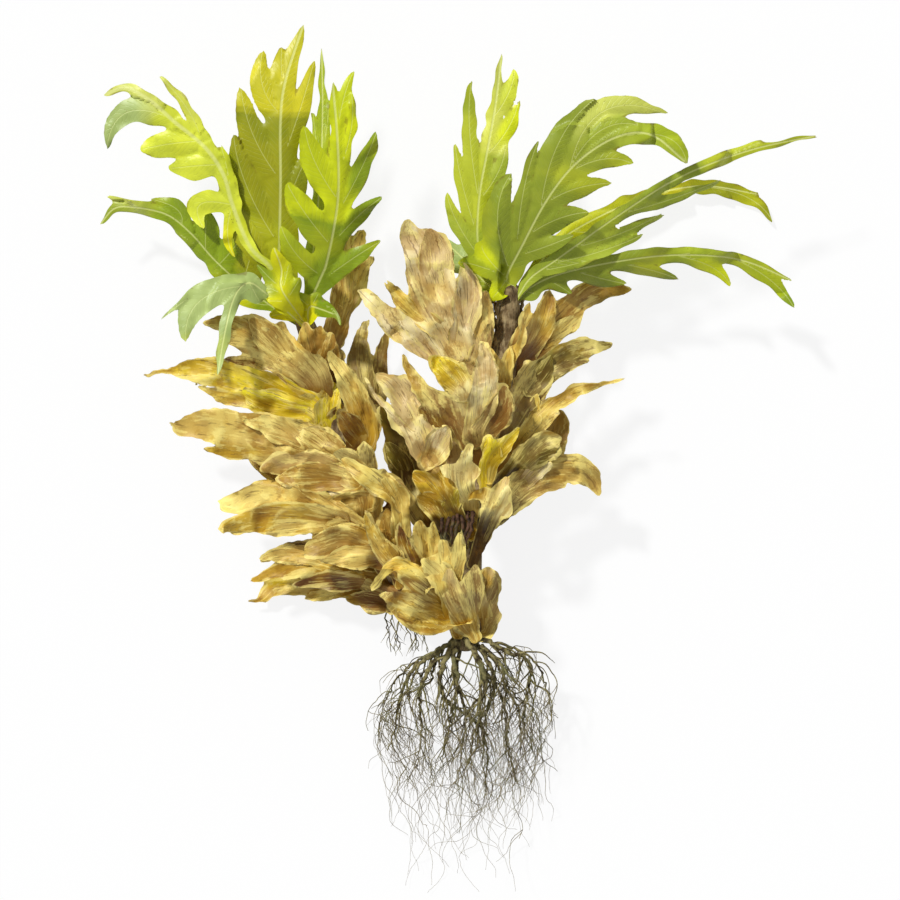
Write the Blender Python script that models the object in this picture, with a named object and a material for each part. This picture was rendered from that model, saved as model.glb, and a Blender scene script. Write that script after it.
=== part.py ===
"""Basket fern, lifted from its host with its roots bare and laid on its back on a level surface.

The fern is modelled in metres with +Z up. It lies along Y: the roots trail towards -Y, and the two
arms of the forked rhizome run towards +Y, each ending in a rosette of green foliage fronds. Papery
brown shield fronds clasp both arms all the way up. Z = 0 is the surface that the fern lies on.

The tables of fronds and roots are in millimetres and degrees. The fronds are listed from the ones
that lie lowest to the ones that lie on top, and each is laid over all those listed before it.
"""

import math
from typing import NamedTuple

import bmesh
import bpy
import numpy as np
from mathutils import Vector

# ------------------------------------------------------------------ driving dimensions, in metres

MM = 0.001
BLADE_THICKNESS = 1.2 * MM
LAYER_GAP = 3.6 * MM  # height between the middle surfaces of two fronds that lie on each other
SEAT_GAP = 0.3 * MM  # left between a frond or root and the bark that it grows from
SEAT_DEPTH = 4 * MM  # how deep in the bark a stalk is started, before it is trimmed flush
SEAT_REACH = 24 * MM  # how far from its seat a frond is stiff and isn't lifted freely
STEEPEST = 1.1  # steepest slope that a frond takes when it is lifted over others
CROWN_RADIUS = 18 * MM
ARM_RADIUS = 12.5 * MM
ARM_TIP_RADIUS = 8 * MM
BARK_SIDES = 14
ROOT_SIDES = 7
RELIEF_CELL = 1.6 * MM
RELIEF_HALF = 0.5  # half the side of the square in which fronds are laid over each other

# The centre lines of the rhizome's two arms, crown first, in millimetres.
ARMS = {
    "right": [
        (4, -192, 52), (6, -112, 62), (17, -45, 72), (30, 15, 79),
        (40, 75, 84), (46, 130, 87), (50, 178, 88),
    ],
    "left": [
        (5, -165, 56), (-45, -137, 60), (-86, -78, 61), (-110, -10, 62),
        (-128, 55, 62), (-147, 110, 61), (-163, 152, 60),
    ],
}


# ------------------------------------------------------------------ materials


def plain_material(name, colour, roughness):
    """A Principled material of one colour."""
    material = bpy.data.materials.new(name)
    material.use_nodes = True
    shader = material.node_tree.nodes["Principled BSDF"]
    shader.inputs["Base Color"].default_value = (*colour, 1.0)
    shader.inputs["Roughness"].default_value = roughness
    shader.inputs["Metallic"].default_value = 0.0
    material.diffuse_color = (*colour, 1.0)
    return material


def make_materials():
    return {
        "leaf_green": plain_material("leaf_green", (0.30, 0.46, 0.04), 0.45),
        "leaf_lime": plain_material("leaf_lime", (0.58, 0.68, 0.04), 0.45),
        "leaf_glaucous": plain_material("leaf_glaucous", (0.42, 0.60, 0.28), 0.50),
        "shield_tan": plain_material("shield_tan", (0.50, 0.34, 0.13), 0.80),
        "shield_cream": plain_material("shield_cream", (0.70, 0.54, 0.26), 0.80),
        "shield_gold": plain_material("shield_gold", (0.66, 0.42, 0.04), 0.75),
        "bark": plain_material("bark", (0.10, 0.07, 0.04), 0.90),
        "root": plain_material("root", (0.20, 0.17, 0.10), 0.90),
    }


# ------------------------------------------------------------------ rhizome


def metres(point):
    return Vector(point) * MM


def spline_point(points, share):
    """The point at share (0 to 1) of a Catmull-Rom curve through the points."""
    spans = len(points) - 1
    place = min(max(share, 0.0), 1.0) * spans
    k = min(int(place), spans - 1)
    x = place - k
    before = points[k - 1] if k > 0 else 2 * points[0] - points[1]
    after = points[k + 2] if k + 2 <= spans else 2 * points[-1] - points[-2]
    a, b = points[k], points[k + 1]
    return 0.5 * (
        2 * a
        + (b - before) * x
        + (2 * before - 5 * a + 4 * b - after) * x**2
        + (3 * a - before - 3 * b + after) * x**3
    )


def arm_point(arm, share):
    return spline_point([metres(point) for point in ARMS[arm]], share)


def arm_radius(arm, share):
    """The bark's radius: domed at both ends, thick at the crown, and tapering towards the tip."""
    radius = ARM_RADIUS - (ARM_RADIUS - ARM_TIP_RADIUS) * max(0.0, (share - 0.7) / 0.3) ** 2
    if arm == "right":
        radius += (CROWN_RADIUS - ARM_RADIUS) * max(0.0, 1 - abs(share - 0.07) / 0.13)
    dome = min(1.0, share / 0.045, (1 - share) / 0.025)
    return radius * math.sqrt(max(0.12, 1 - (1 - dome) ** 2))


def arm_frame(arm, share):
    """(centre, up, right) of an arm: up is the way round it that faces +Z."""
    tangent = arm_point(arm, min(share + 0.01, 1)) - arm_point(arm, max(share - 0.01, 0))
    right = tangent.cross(Vector((0, 0, 1))).normalized()
    return arm_point(arm, share), right.cross(tangent).normalized(), right


def make_tube(name, centres, radii, sides):
    """A closed tube through the centres, with a flat cap at each end."""
    mesh = bmesh.new()
    rings = []
    right = (centres[1] - centres[0]).cross(Vector((0.1, 0, 1))).normalized()
    for k, centre in enumerate(centres):
        ahead = centres[min(k + 1, len(centres) - 1)] - centres[max(k - 1, 0)]
        ahead.normalize()
        right = (right - ahead * right.dot(ahead)).normalized()
        up = right.cross(ahead)
        ring = []
        for s in range(sides):
            turn = 2 * math.pi * s / sides
            offset = (right * math.cos(turn) + up * math.sin(turn)) * radii[k]
            ring.append(mesh.verts.new(centre + offset))
        rings.append(ring)
    for lower, upper in zip(rings, rings[1:]):
        for s in range(sides):
            n = (s + 1) % sides
            mesh.faces.new([lower[s], lower[n], upper[n], upper[s]])
    mesh.faces.new(rings[0][::-1])
    mesh.faces.new(rings[-1])
    bmesh.ops.recalc_face_normals(mesh, faces=mesh.faces)
    for face in mesh.faces:
        face.smooth = len(face.verts) == 4
    data = bpy.data.meshes.new(name)
    mesh.to_mesh(data)
    mesh.free()
    tube = bpy.data.objects.new(name, data)
    bpy.context.scene.collection.objects.link(tube)
    return tube


def hide(cutter):
    cutter.hide_render = True
    cutter.display_type = "WIRE"


def make_rhizome(name, grown=0.0):
    """The forked rhizome, with its bark grown outwards: the left arm starts inside the right one."""
    arms = {}
    shares = [0, 0.015, 0.045] + [0.045 + k * 0.085 for k in range(1, 11)] + [0.945, 0.975, 0.99, 1]
    for arm in ARMS:
        centres = [arm_point(arm, share) for share in shares]
        radii = [arm_radius(arm, share) + grown for share in shares]
        arms[arm] = make_tube(name + "_" + arm, centres, radii, BARK_SIDES)
    rhizome = arms["right"]
    rhizome.name = name
    join = rhizome.modifiers.new("fork", "BOOLEAN")
    join.operation = "UNION"
    join.solver = "EXACT"
    join.object = arms["left"]
    hide(arms["left"])
    return rhizome


# ------------------------------------------------------------------ fronds


class Style(NamedTuple):
    """What the fronds of one kind share."""

    spread: tuple  # degrees between the midrib and its veins, at the base and near the tip
    power: float  # how late along the midrib the veins close into the terminal lobe
    stalk: float  # share of the midrib that is bare stalk
    stalk_width: float  # half the stalk's width, in millimetres
    cut: float  # depth of the gaps between the lobes, as a share of their reach
    blunt: float  # 1 and over for pointed lobes, lower for round ones
    cup: float  # 1 / radius, in 1/m, of the blade across its midrib


SHIELD = Style(spread=(54, 28), power=6, stalk=0.02, stalk_width=6, cut=0.42, blunt=0.8, cup=6)
FOLIAGE = Style(spread=(50, 26), power=9, stalk=0.07, stalk_width=2.5, cut=0.80, blunt=0.5, cup=3)
ARCHING = FOLIAGE._replace(spread=(34, 15))


class Frond(NamedTuple):
    """One frond, in millimetres and degrees in the fern's frame."""

    name: str
    arm: str
    seat: float  # share of the arm at which it grows
    around: float  # the way round the arm: 0 faces up, -90 left, 90 right, 180 down
    tip: tuple
    pull: tuple  # from the middle of the straight line to the tip, to the midrib's control point
    left: tuple  # reach of each lobe on the midrib's left, from the base on
    right: tuple
    end: float  # reach of the terminal lobe
    face: tuple = (0, -0.45, 1)  # the way that the blade's outer side faces
    material: str = "shield_tan"
    style: Style = SHIELD


class Midrib:
    """The midrib as a quadratic curve from the seat to the tip, with the blade's frame along it."""

    def __init__(self, frond):
        centre, up, right = arm_frame(frond.arm, frond.seat)
        turn = math.radians(frond.around)
        outward = math.cos(turn) * up + math.sin(turn) * right
        self.start = centre + outward * (arm_radius(frond.arm, frond.seat) - SEAT_DEPTH)
        self.end = metres(frond.tip)
        self.middle = (self.start + self.end) / 2 + metres(frond.pull)
        self.face = Vector(frond.face).normalized()
        walked = [self.point(k / 20) for k in range(21)]
        self.length = sum((b - a).length for a, b in zip(walked, walked[1:]))

    def point(self, u):
        return (1 - u) ** 2 * self.start + 2 * u * (1 - u) * self.middle + u**2 * self.end

    def frame(self, u):
        """(to the right across the blade, out of the blade's face) at share u."""
        tangent = (1 - u) * (self.middle - self.start) + u * (self.end - self.middle)
        across = tangent.cross(self.face).normalized()
        return across, across.cross(tangent).normalized()


def vein(frond, t, side):
    """(reach in metres, angle in radians) of the vein that leaves the midrib at t, on side -1 or 1."""
    style = frond.style
    reaches = frond.left if side < 0 else frond.right
    base, near_tip = style.spread
    angle = math.radians(base + (near_tip - base) * t) * (1 - t**style.power)
    if t <= style.stalk:
        return style.stalk_width * MM, angle
    place = (t - style.stalk) / (1 - style.stalk) * (len(reaches) + 0.5)
    k = min(int(place), len(reaches))
    x = place - k
    reach = reaches[k] if k < len(reaches) else frond.end
    gap_before = reach if k == 0 else min(reach, reaches[k - 1])
    gap_after = min(reach, reaches[k + 1]) if k + 1 < len(reaches) else min(reach, frond.end)
    gap = (gap_before if x < 0.5 else gap_after) * (1 - style.cut)
    if k == 0 and x < 0.5:
        gap = style.stalk_width
    return (gap + (reach - gap) * math.sin(math.pi * x) ** style.blunt) * MM, angle


def stations(frond, within_lobe):
    """Shares of the midrib at which the blade has a row of points."""
    style = frond.style
    found = [0.0, style.stalk, 1.0]
    for lobes in {len(frond.left), len(frond.right)}:
        for k in range(lobes + 1):
            for x in within_lobe:
                if k + x < lobes + 0.5:
                    found.append(style.stalk + (k + x) / (lobes + 0.5) * (1 - style.stalk))
    return sorted({round(t, 4) for t in found})


def vein_end(frond, midrib, t, side):
    """Where the vein that leaves the midrib at t meets the blade's edge."""
    reach, angle = vein(frond, t, side)
    u = (t * (midrib.length - frond.end * MM) + reach * math.cos(angle)) / midrib.length
    sideways, outward = midrib.frame(u)
    turn = reach * math.sin(angle) * side * frond.style.cup
    return (
        midrib.point(u)
        + sideways * math.sin(turn) / frond.style.cup
        - outward * (1 - math.cos(turn)) / frond.style.cup
    )


def blade_sheet(frond, columns=2, within_lobe=(0.0, 0.3, 0.7)):
    """The blade's middle surface, as points and triangles that face its outer side."""
    midrib = Midrib(frond)
    rows = stations(frond, within_lobe)
    spine = [midrib.point(t * (1 - frond.end * MM / midrib.length)) for t in rows]
    points = list(spine)
    end_vein = [len(rows) - 1]
    for j in range(1, columns + 1):
        end_vein.append(len(points))
        points.append(spine[-1].lerp(vein_end(frond, midrib, 1.0, 1), j / columns))
    triangles = []
    for side in (-1, 1):
        grid = []
        for k, t in enumerate(rows[:-1]):
            edge = vein_end(frond, midrib, t, side)
            grid.append([k])
            for j in range(1, columns + 1):
                grid[-1].append(len(points))
                points.append(spine[k].lerp(edge, j / columns))
        grid.append(end_vein)
        for lower, upper in zip(grid, grid[1:]):
            for j in range(columns):
                a, b, c, d = lower[j], lower[j + 1], upper[j + 1], upper[j]
                triangles.append((a, b, d) if side > 0 else (a, d, b))
                triangles.append((b, c, d) if side > 0 else (b, d, c))
    return np.array([tuple(point) for point in points]), triangles


class Relief:
    """The height of everything laid so far, on a grid seen from above."""

    def __init__(self):
        side = int(2 * RELIEF_HALF / RELIEF_CELL)
        self.top = np.full((side, side), BLADE_THICKNESS / 2 - LAYER_GAP)

    def footprint(self, corners):
        """The grid's cells under a triangle, and the corners' weights in each of them."""
        a, b, c = ((corner[:2] + RELIEF_HALF) / RELIEF_CELL for corner in corners)
        low = np.floor(np.minimum(np.minimum(a, b), c)).astype(int)
        high = np.ceil(np.maximum(np.maximum(a, b), c)).astype(int) + 1
        x, y = np.mgrid[low[0] : high[0], low[1] : high[1]]
        area = (b[0] - a[0]) * (c[1] - a[1]) - (c[0] - a[0]) * (b[1] - a[1])
        if abs(area) < 1e-9:
            return None
        second = ((x - a[0]) * (c[1] - a[1]) - (c[0] - a[0]) * (y - a[1])) / area
        third = ((b[0] - a[0]) * (y - a[1]) - (x - a[0]) * (b[1] - a[1])) / area
        inside = (second >= 0) & (third >= 0) & (second + third <= 1)
        if not inside.any():
            return None
        second, third = second[inside], third[inside]
        return (x[inside], y[inside]), np.array([1 - second - third, second, third])

    def lay(self, points, triangles, seat):
        """Lift the points to the floor and off all that is below, then add them to the relief."""
        away = np.linalg.norm(points - np.array(seat), axis=1) / SEAT_REACH
        freedom = np.clip(away, 0.0, 1.0) ** 2
        height = points[:, 2]
        np.maximum(height, BLADE_THICKNESS / 2, out=height)
        edges = {tuple(sorted((t[k], t[k - 1]))) for t in triangles for k in range(3)}
        spans = {edge: np.linalg.norm(points[edge[0], :2] - points[edge[1], :2]) for edge in edges}
        prints = []
        for triangle in triangles:
            found = self.footprint(points[list(triangle)])
            if found:
                prints.append((list(triangle), *found))
        for _ in range(60):
            deepest = 0.0
            for corners, cells, weights in prints:
                short = self.top[cells] + LAYER_GAP - height[corners] @ weights
                short *= np.clip((freedom[corners] @ weights - 0.3) / 0.5, 0.0, 1.0)
                k = short.argmax()
                if short[k] > 1e-6:
                    pushed = weights[:, k] * freedom[corners]
                    height[corners] += short[k] * pushed / (pushed @ weights[:, k])
                    deepest = max(deepest, short[k])
            for (i, j), span in spans.items():
                low, high = (i, j) if height[i] < height[j] else (j, i)
                steep = height[high] - height[low] - STEEPEST * span
                if steep > 0:
                    height[low] += steep * freedom[low]
            if deepest < 2e-5:
                break
        self.add(height, prints)

    def add(self, height, prints):
        for corners, cells, weights in prints:
            self.top[cells] = np.maximum(self.top[cells], height[corners] @ weights)

    def add_solid(self, solid):
        """Add the evaluated solid of an object to the relief."""
        evaluated = solid.evaluated_get(bpy.context.evaluated_depsgraph_get())
        mesh = evaluated.to_mesh()
        mesh.calc_loop_triangles()
        points = np.array([tuple(vertex.co) for vertex in mesh.vertices])
        prints = []
        for triangle in mesh.loop_triangles:
            corners = list(triangle.vertices)
            found = self.footprint(points[corners])
            if found:
                prints.append((corners, *found))
        self.add(points[:, 2], prints)
        evaluated.to_mesh_clear()


def thickened(points, triangles):
    """The sheet as a closed solid of even height: (points, faces)."""
    half = np.array([0.0, 0.0, BLADE_THICKNESS / 2])
    below = len(points)
    faces = list(triangles) + [(c + below, b + below, a + below) for a, b, c in triangles]
    edges = {(t[k - 1], t[k]) for t in triangles for k in range(3)}
    for start, end in sorted(edges):
        if (end, start) not in edges:
            faces.append((end, start, start + below, end + below))
    return np.concatenate([points + half, points - half]), faces


def make_frond(frond, relief, bark_cutter, materials):
    """A frond as one closed thin solid, laid over the relief and trimmed where it meets the bark."""
    points, triangles = blade_sheet(frond)
    relief.lay(points, triangles, Midrib(frond).start)
    corners, faces = thickened(points, triangles)
    data = bpy.data.meshes.new(frond.name)
    data.from_pydata(corners.tolist(), [], faces)
    data.materials.append(materials[frond.material])
    data.shade_smooth()
    blade = bpy.data.objects.new(frond.name, data)
    bpy.context.scene.collection.objects.link(blade)
    seat = blade.modifiers.new("seat", "BOOLEAN")
    seat.operation = "DIFFERENCE"
    seat.solver = "EXACT"
    seat.object = bark_cutter


# The fronds under the arms, which the fern lies on.
BACK_FRONDS = [
    Frond("shield_back_01", "left", 0.30, 175, (-205, 30, -4), (0, 10, -45), (40, 52, 40),
          (40, 52, 40), 40, (0, 0, 1)),
    Frond("shield_back_02", "right", 0.30, 175, (95, 45, -4), (0, 10, -55), (40, 52, 40),
          (40, 52, 40), 40, (0, 0, 1)),
    Frond("shield_back_03", "left", 0.06, -95, (-214, -141, 6), (0, 14, 0), (24, 30, 26),
          (30, 34, 26), 52, (0, -0.1, 1), "shield_gold"),
    Frond("shield_back_04", "left", 0.78, 130, (-98, 233, 30), (8, 0, -25), (32, 36, 30),
          (30, 36, 30), 32, (0.3, -0.1, 1)),
    Frond("shield_back_05", "left", 0.50, 140, (-82, 137, 30), (4, 0, -25), (30, 34), (30, 32), 32,
          (0, -0.1, 1)),
    Frond("shield_back_06", "right", 0.62, 130, (118, 143, 30), (0, 5, -30), (22, 20), (22, 20),
          34, (0, -0.3, 1)),
    Frond("shield_back_07", "right", 0.15, -140, (-80, 54, 40), (-14, 0, -25), (26, 32, 24),
          (30, 34, 26), 34, (0, -0.1, 1), "shield_cream"),
    Frond("foliage_back_01", "left", 0.95, 165, (-137, 412, -6), (6, 0, -30), (55, 66, 60, 44),
          (55, 66, 60, 44), 50, (0, -0.1, 1), "leaf_green", FOLIAGE),
    Frond("foliage_back_02", "right", 0.95, 165, (312, 236, 4), (34, 72, -50), (50, 60, 50),
          (46, 56, 50), 70, (0.1, -0.6, 1), "leaf_green", ARCHING),
    Frond("foliage_back_03", "right", 0.94, -100, (-20, 222, 74), (0, 4, 6), (30, 32), (24, 28),
          34, (0, -0.3, 1), "leaf_glaucous", FOLIAGE),
]

# The fronds that lie over the arms or stand out beside them.
FRONT_FRONDS = [
    # The left arm's shield fronds, from its tip down to the crown.
    Frond("shield_left_01", "left", 0.70, 0, (-156, 142, 112), (0, 0, 8), (34, 30), (30, 26), 28),
    Frond("shield_left_02", "left", 0.64, -45, (-262, 146, 95), (5, 12, 20), (52, 58, 44),
          (72, 74, 56), 42),
    Frond("shield_left_03", "left", 0.52, 35, (-134, 110, 108), (0, 0, 15), (22, 20), (20, 18), 34),
    Frond("shield_left_04", "left", 0.57, -70, (-321, 88, 60), (0, 22, 20), (52, 58, 40),
          (50, 56, 44), 62, (0, -0.45, 1), "shield_gold"),
    Frond("shield_left_05", "left", 0.40, -70, (-294, 38, 55), (0, 20, 22), (50, 64, 58),
          (62, 68, 58), 46),
    Frond("shield_left_06", "left", 0.36, 0, (-127, 12, 105), (0, 0, 15), (32, 30), (30, 26), 28),
    Frond("shield_left_07", "left", 0.31, -55, (-199, -8, 90), (0, 16, 20), (52, 56), (58, 54), 48),
    Frond("shield_left_08", "left", 0.25, -85, (-243, -46, 50), (0, 18, 20), (50, 60, 62),
          (52, 56, 50), 40),
    Frond("shield_left_09", "left", 0.22, 0, (-104, 3, 122), (0, 0, 18), (46, 50), (38, 34), 40,
          material="shield_cream"),
    Frond("shield_left_10", "left", 0.13, -100, (-213, -118, 36), (0, 8, 0), (26, 34, 32),
          (12, 40, 38), 46),
    Frond("shield_left_11", "left", 0.20, -30, (-158, -88, 92), (0, 12, 22), (22, 42), (42, 46), 42),
    Frond("shield_left_12", "left", 0.12, 5, (-88, -58, 116), (0, 0, 20), (34, 36), (28, 26), 32),
    # The right arm's shield fronds, from its tip down to the crown.
    Frond("shield_right_01", "right", 0.72, 75, (170, 169, 52), (-5, 14, 2), (50, 48, 36),
          (42, 38, 28), 50),
    Frond("shield_right_02", "right", 0.64, -40, (-53, 240, 118), (-4, 4, 25), (88, 74, 40),
          (66, 58, 38), 40, (0.1, -0.3, 1)),
    Frond("shield_right_03", "right", 0.55, 40, (64, 152, 130), (0, 0, 20), (20, 18), (18, 16), 34),
    Frond("shield_right_04", "right", 0.48, 75, (151, 114, 84), (-5, 20, 16), (40, 42, 32),
          (38, 38, 28), 40),
    Frond("shield_right_05", "right", 0.41, 75, (164, 81, 92), (0, 10, 14), (20, 18, 12),
          (18, 18, 12), 54, material="shield_gold"),
    Frond("shield_right_06", "right", 0.42, -10, (2, 118, 142), (0, 0, 30), (92, 80, 44),
          (48, 50, 36), 38),
    Frond("shield_right_07", "right", 0.30, -60, (-94, 84, 112), (0, 5, 25), (26, 28, 18),
          (34, 34, 24), 46, material="shield_cream"),
    Frond("shield_right_08", "right", 0.34, 105, (100, 25, 56), (0, 12, 4), (10, 22), (34, 32), 28),
    Frond("shield_right_09", "right", 0.39, 15, (64, 34, 134), (0, 0, 15), (14, 14), (16, 14), 22,
          material="shield_gold"),
    Frond("shield_right_10", "right", 0.26, 80, (139, -31, 66), (0, 34, 26), (36, 38), (34, 36), 40),
    Frond("shield_right_11", "right", 0.27, -20, (13, 15, 138), (0, 0, 15), (32, 30), (24, 24), 24,
          material="shield_cream"),
    Frond("shield_right_12", "right", 0.22, -60, (-44, -8, 118), (0, 0, 15), (24, 26), (32, 30), 26,
          material="shield_gold"),
    Frond("shield_right_13", "right", 0.20, 40, (44, -14, 124), (0, 0, 15), (20, 20), (20, 18), 20,
          material="shield_cream"),
    # The crown's shield fronds.
    Frond("shield_crown_01", "right", 0.06, 85, (42, -106, 56), (10, 0, 0), (22, 30), (26, 24), 26),
    Frond("shield_crown_02", "right", 0.09, -20, (-88, -124, 112), (0, 10, 20), (22, 24), (22, 24),
          34, material="shield_cream"),
    Frond("shield_crown_03", "right", 0.05, -40, (-16, -74, 116), (-8, 0, 20), (50, 48), (40, 38),
          30),
    Frond("shield_crown_04", "right", 0.04, 20, (27, -94, 112), (6, 0, 22), (40, 40), (36, 32), 28,
          material="shield_cream"),
    # The left rosette.
    Frond("foliage_left_01", "left", 0.93, -100, (-362, 236, 40), (-20, 84, 40), (34, 46, 46),
          (62, 70, 60), 66, (-0.2, -0.5, 1), "leaf_green", FOLIAGE),
    Frond("foliage_left_02", "left", 0.99, 0, (-158, 437, 104), (-34, 24, 44), (70, 92, 90, 60),
          (60, 74, 86, 70), 78, (0, -0.3, 1), "leaf_lime", FOLIAGE),
    Frond("foliage_left_03", "left", 0.975, -60, (-354, 369, 104), (40, 36, 40), (46, 70, 84),
          (54, 72, 86), 66, (-0.1, -0.3, 1), "leaf_lime", FOLIAGE),
    Frond("foliage_left_04", "left", 0.97, 45, (-116, 395, 126), (15, 7, 26), (62, 84, 66),
          (76, 86, 72), 50, (0.2, -0.3, 1), "leaf_lime", FOLIAGE),
    Frond("foliage_left_05", "left", 0.93, -20, (-243, 85, 132), (-20, 92, 50), (12, 12),
          (36, 42), 50, (-0.1, -0.2, 1), "leaf_glaucous", FOLIAGE),
    Frond("foliage_left_06", "left", 0.96, -12, (-192, 215, 122), (-4, 4, 16), (18, 20), (18, 22),
          20, (0, -0.3, 1), "leaf_lime", FOLIAGE),
    Frond("foliage_left_07", "left", 0.94, 15, (-119, 132, 108), (6, 12, 18), (15, 16), (14, 14),
          20, (0, -0.3, 1), "leaf_lime", FOLIAGE),
    # The right rosette.
    Frond("foliage_right_01", "right", 0.94, 95, (332, 180, 74), (-7, 52, 32), (36, 56, 60),
          (64, 78, 76), 80, (0, -0.8, 1), "leaf_green", ARCHING),
    Frond("foliage_right_02", "right", 0.95, 60, (362, 327, 108), (-9, 23, 42), (60, 80, 70),
          (70, 86, 80), 120, (0.3, -0.8, 1), "leaf_green", ARCHING),
    Frond("foliage_right_03", "right", 0.96, -70, (40, 409, 110), (-46, -3, 20), (60, 84, 86),
          (46, 60, 66), 84, (0, -0.3, 1), "leaf_lime", FOLIAGE),
    Frond("foliage_right_04", "right", 0.99, 0, (225, 298, 150), (-42, 80, 60), (56, 78, 78),
          (50, 56, 58), 70, (0, -0.3, 1), "leaf_green", FOLIAGE),
]


# ------------------------------------------------------------------ roots


class Root(NamedTuple):
    """One root, in millimetres: points that its centre line passes through, and its thickness."""

    name: str
    points: tuple
    radius: float
    tip_radius: float


ROOTS = [
    Root("root_01", ((-4, -180, 58), (-22, -202, 62), (-38, -222, 56), (-52, -262, 40),
                     (-60, -330, 16)), 3.0, 1.0),
    Root("root_02", ((-4, -180, 46), (-20, -202, 38), (-38, -230, 30), (-46, -280, 12),
                     (-38, -370, 0.9)), 2.8, 0.8),
    Root("root_03", ((12, -180, 62), (26, -192, 72), (50, -204, 66), (68, -236, 44),
                     (80, -300, 20)), 3.2, 1.0),
    Root("root_04", ((12, -178, 50), (32, -194, 50), (54, -222, 42), (62, -272, 22),
                     (68, -352, 6)), 2.8, 0.8),
    Root("root_05", ((4, -180, 66), (4, -206, 74), (20, -236, 66), (34, -276, 38),
                     (38, -372, 8)), 2.8, 0.8),
    Root("root_06", ((0, -184, 52), (-6, -220, 48), (-20, -262, 28), (-14, -330, 10),
                     (-24, -410, 0.8)), 2.6, 0.7),
    Root("root_07", ((8, -184, 50), (12, -220, 36), (14, -276, 15), (6, -350, 3.5),
                     (12, -437, 0.8)), 2.6, 0.7),
    Root("root_08", ((8, -176, 42), (26, -210, 24), (36, -252, 12), (46, -310, 4),
                     (54, -394, 0.8)), 2.4, 0.7),
    Root("root_09", ((-44, -136, 52), (-48, -150, 32), (-55, -168, 24), (-62, -184, 20),
                     (-68, -204, 16)), 2.0, 0.7),
]


def make_root(root, bark_cutter, materials):
    """A tapering root, trimmed where it meets the bark."""
    points = [metres(point) for point in root.points]
    rings = 3 * (len(points) - 1) + 1
    shares = [k / (rings - 1) for k in range(rings)]
    centres = [spline_point(points, share) for share in shares]
    radii = [(root.radius + (root.tip_radius - root.radius) * share) * MM for share in shares]
    tube = make_tube(root.name, centres, radii, ROOT_SIDES)
    tube.data.materials.append(materials["root"])
    seat = tube.modifiers.new("seat", "BOOLEAN")
    seat.operation = "DIFFERENCE"
    seat.solver = "EXACT"
    seat.object = bark_cutter


def main():
    for old in list(bpy.data.objects):
        bpy.data.objects.remove(old)
    materials = make_materials()
    rhizome = make_rhizome("rhizome")
    rhizome.data.materials.append(materials["bark"])
    bark_cutter = make_rhizome("bark_cutter", SEAT_GAP)
    hide(bark_cutter)
    relief = Relief()
    for frond in BACK_FRONDS:
        make_frond(frond, relief, bark_cutter, materials)
    relief.add_solid(rhizome)
    for frond in FRONT_FRONDS:
        make_frond(frond, relief, bark_cutter, materials)
    for root in ROOTS:
        make_root(root, bark_cutter, materials)


main()
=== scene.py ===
import math
from typing import NamedTuple

import bpy
import numpy as np
from mathutils.bvhtree import BVHTree
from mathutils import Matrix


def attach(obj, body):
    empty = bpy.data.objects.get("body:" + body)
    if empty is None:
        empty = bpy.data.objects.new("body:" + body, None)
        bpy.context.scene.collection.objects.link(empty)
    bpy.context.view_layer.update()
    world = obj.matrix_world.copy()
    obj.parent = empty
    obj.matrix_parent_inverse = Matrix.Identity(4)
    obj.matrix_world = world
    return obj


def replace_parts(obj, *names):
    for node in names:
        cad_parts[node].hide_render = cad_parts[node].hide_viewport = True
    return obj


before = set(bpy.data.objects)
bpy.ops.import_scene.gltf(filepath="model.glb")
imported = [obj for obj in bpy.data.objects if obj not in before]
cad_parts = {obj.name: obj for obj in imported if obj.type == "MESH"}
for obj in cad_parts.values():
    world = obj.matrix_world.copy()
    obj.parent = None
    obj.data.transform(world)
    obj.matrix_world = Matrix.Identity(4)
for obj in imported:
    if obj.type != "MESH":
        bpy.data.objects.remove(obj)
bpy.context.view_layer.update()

# Lengths are in millimetres, and places in the tables are as seen from above in the CAD's frame.
MM = 0.001
CELL = 2.0  # spacing of the points in a blade
SNAP = 0.33  # points within this share of a cell of a blade's outline are moved onto it
BLADE = 0.5  # thickness of a blade
SUNK = 0.6  # how far a blade's middle lies under the upper side of its CAD solid
LOWEST = 0.4  # least height of a blade's middle over the floor
ROOTED = 8.0  # how far a midrib's strip goes into the bark
DRY_WAIST = 0.25  # share of a dry frond's midrib at which its body reaches its full width
TAIL = 2.6  # half width of a dry frond's tail
BEND = 0.06  # how far a lobe given by two points bends to either side, as a share of its length
WEB = 5.0  # how round the gaps between lobes are
SOFTEN = 6.0  # how far the heights of the CAD's solids are smoothed
MARGIN = 50.0  # how far those heights are carried on past a solid
RISE = 1.0  # how far each dry frond stands over the one before it on its arm
GREEN_MARGIN = ((0.9, 30),)  # how far margins stray, and over what length
DRY_MARGIN = ((2.0, 38), (0.5, 11))
FOLDS = ((1.3, 23), (0.7, 12))  # how high a dry sheet's folds are, and how wide
EYE = (-11.5, 11.0)  # the camera stands over this point,
LEVEL = 80.0  # this far over the height at which the tables' places are true to size:
DISTANCE = 2125.0


# ------------------------------------------------------------------ colours


def linear(red, green, blue):
    """A colour given as 0 to 255 sRGB, in linear light."""
    scaled = np.array([red, green, blue]) / 255
    return np.where(scaled <= 0.04045, scaled / 12.92, ((scaled + 0.055) / 1.055) ** 2.4)


def rgba(red, green, blue):
    """The same with an alpha, for a socket."""
    return (*map(float, linear(red, green, blue)), 1.0)


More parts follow.
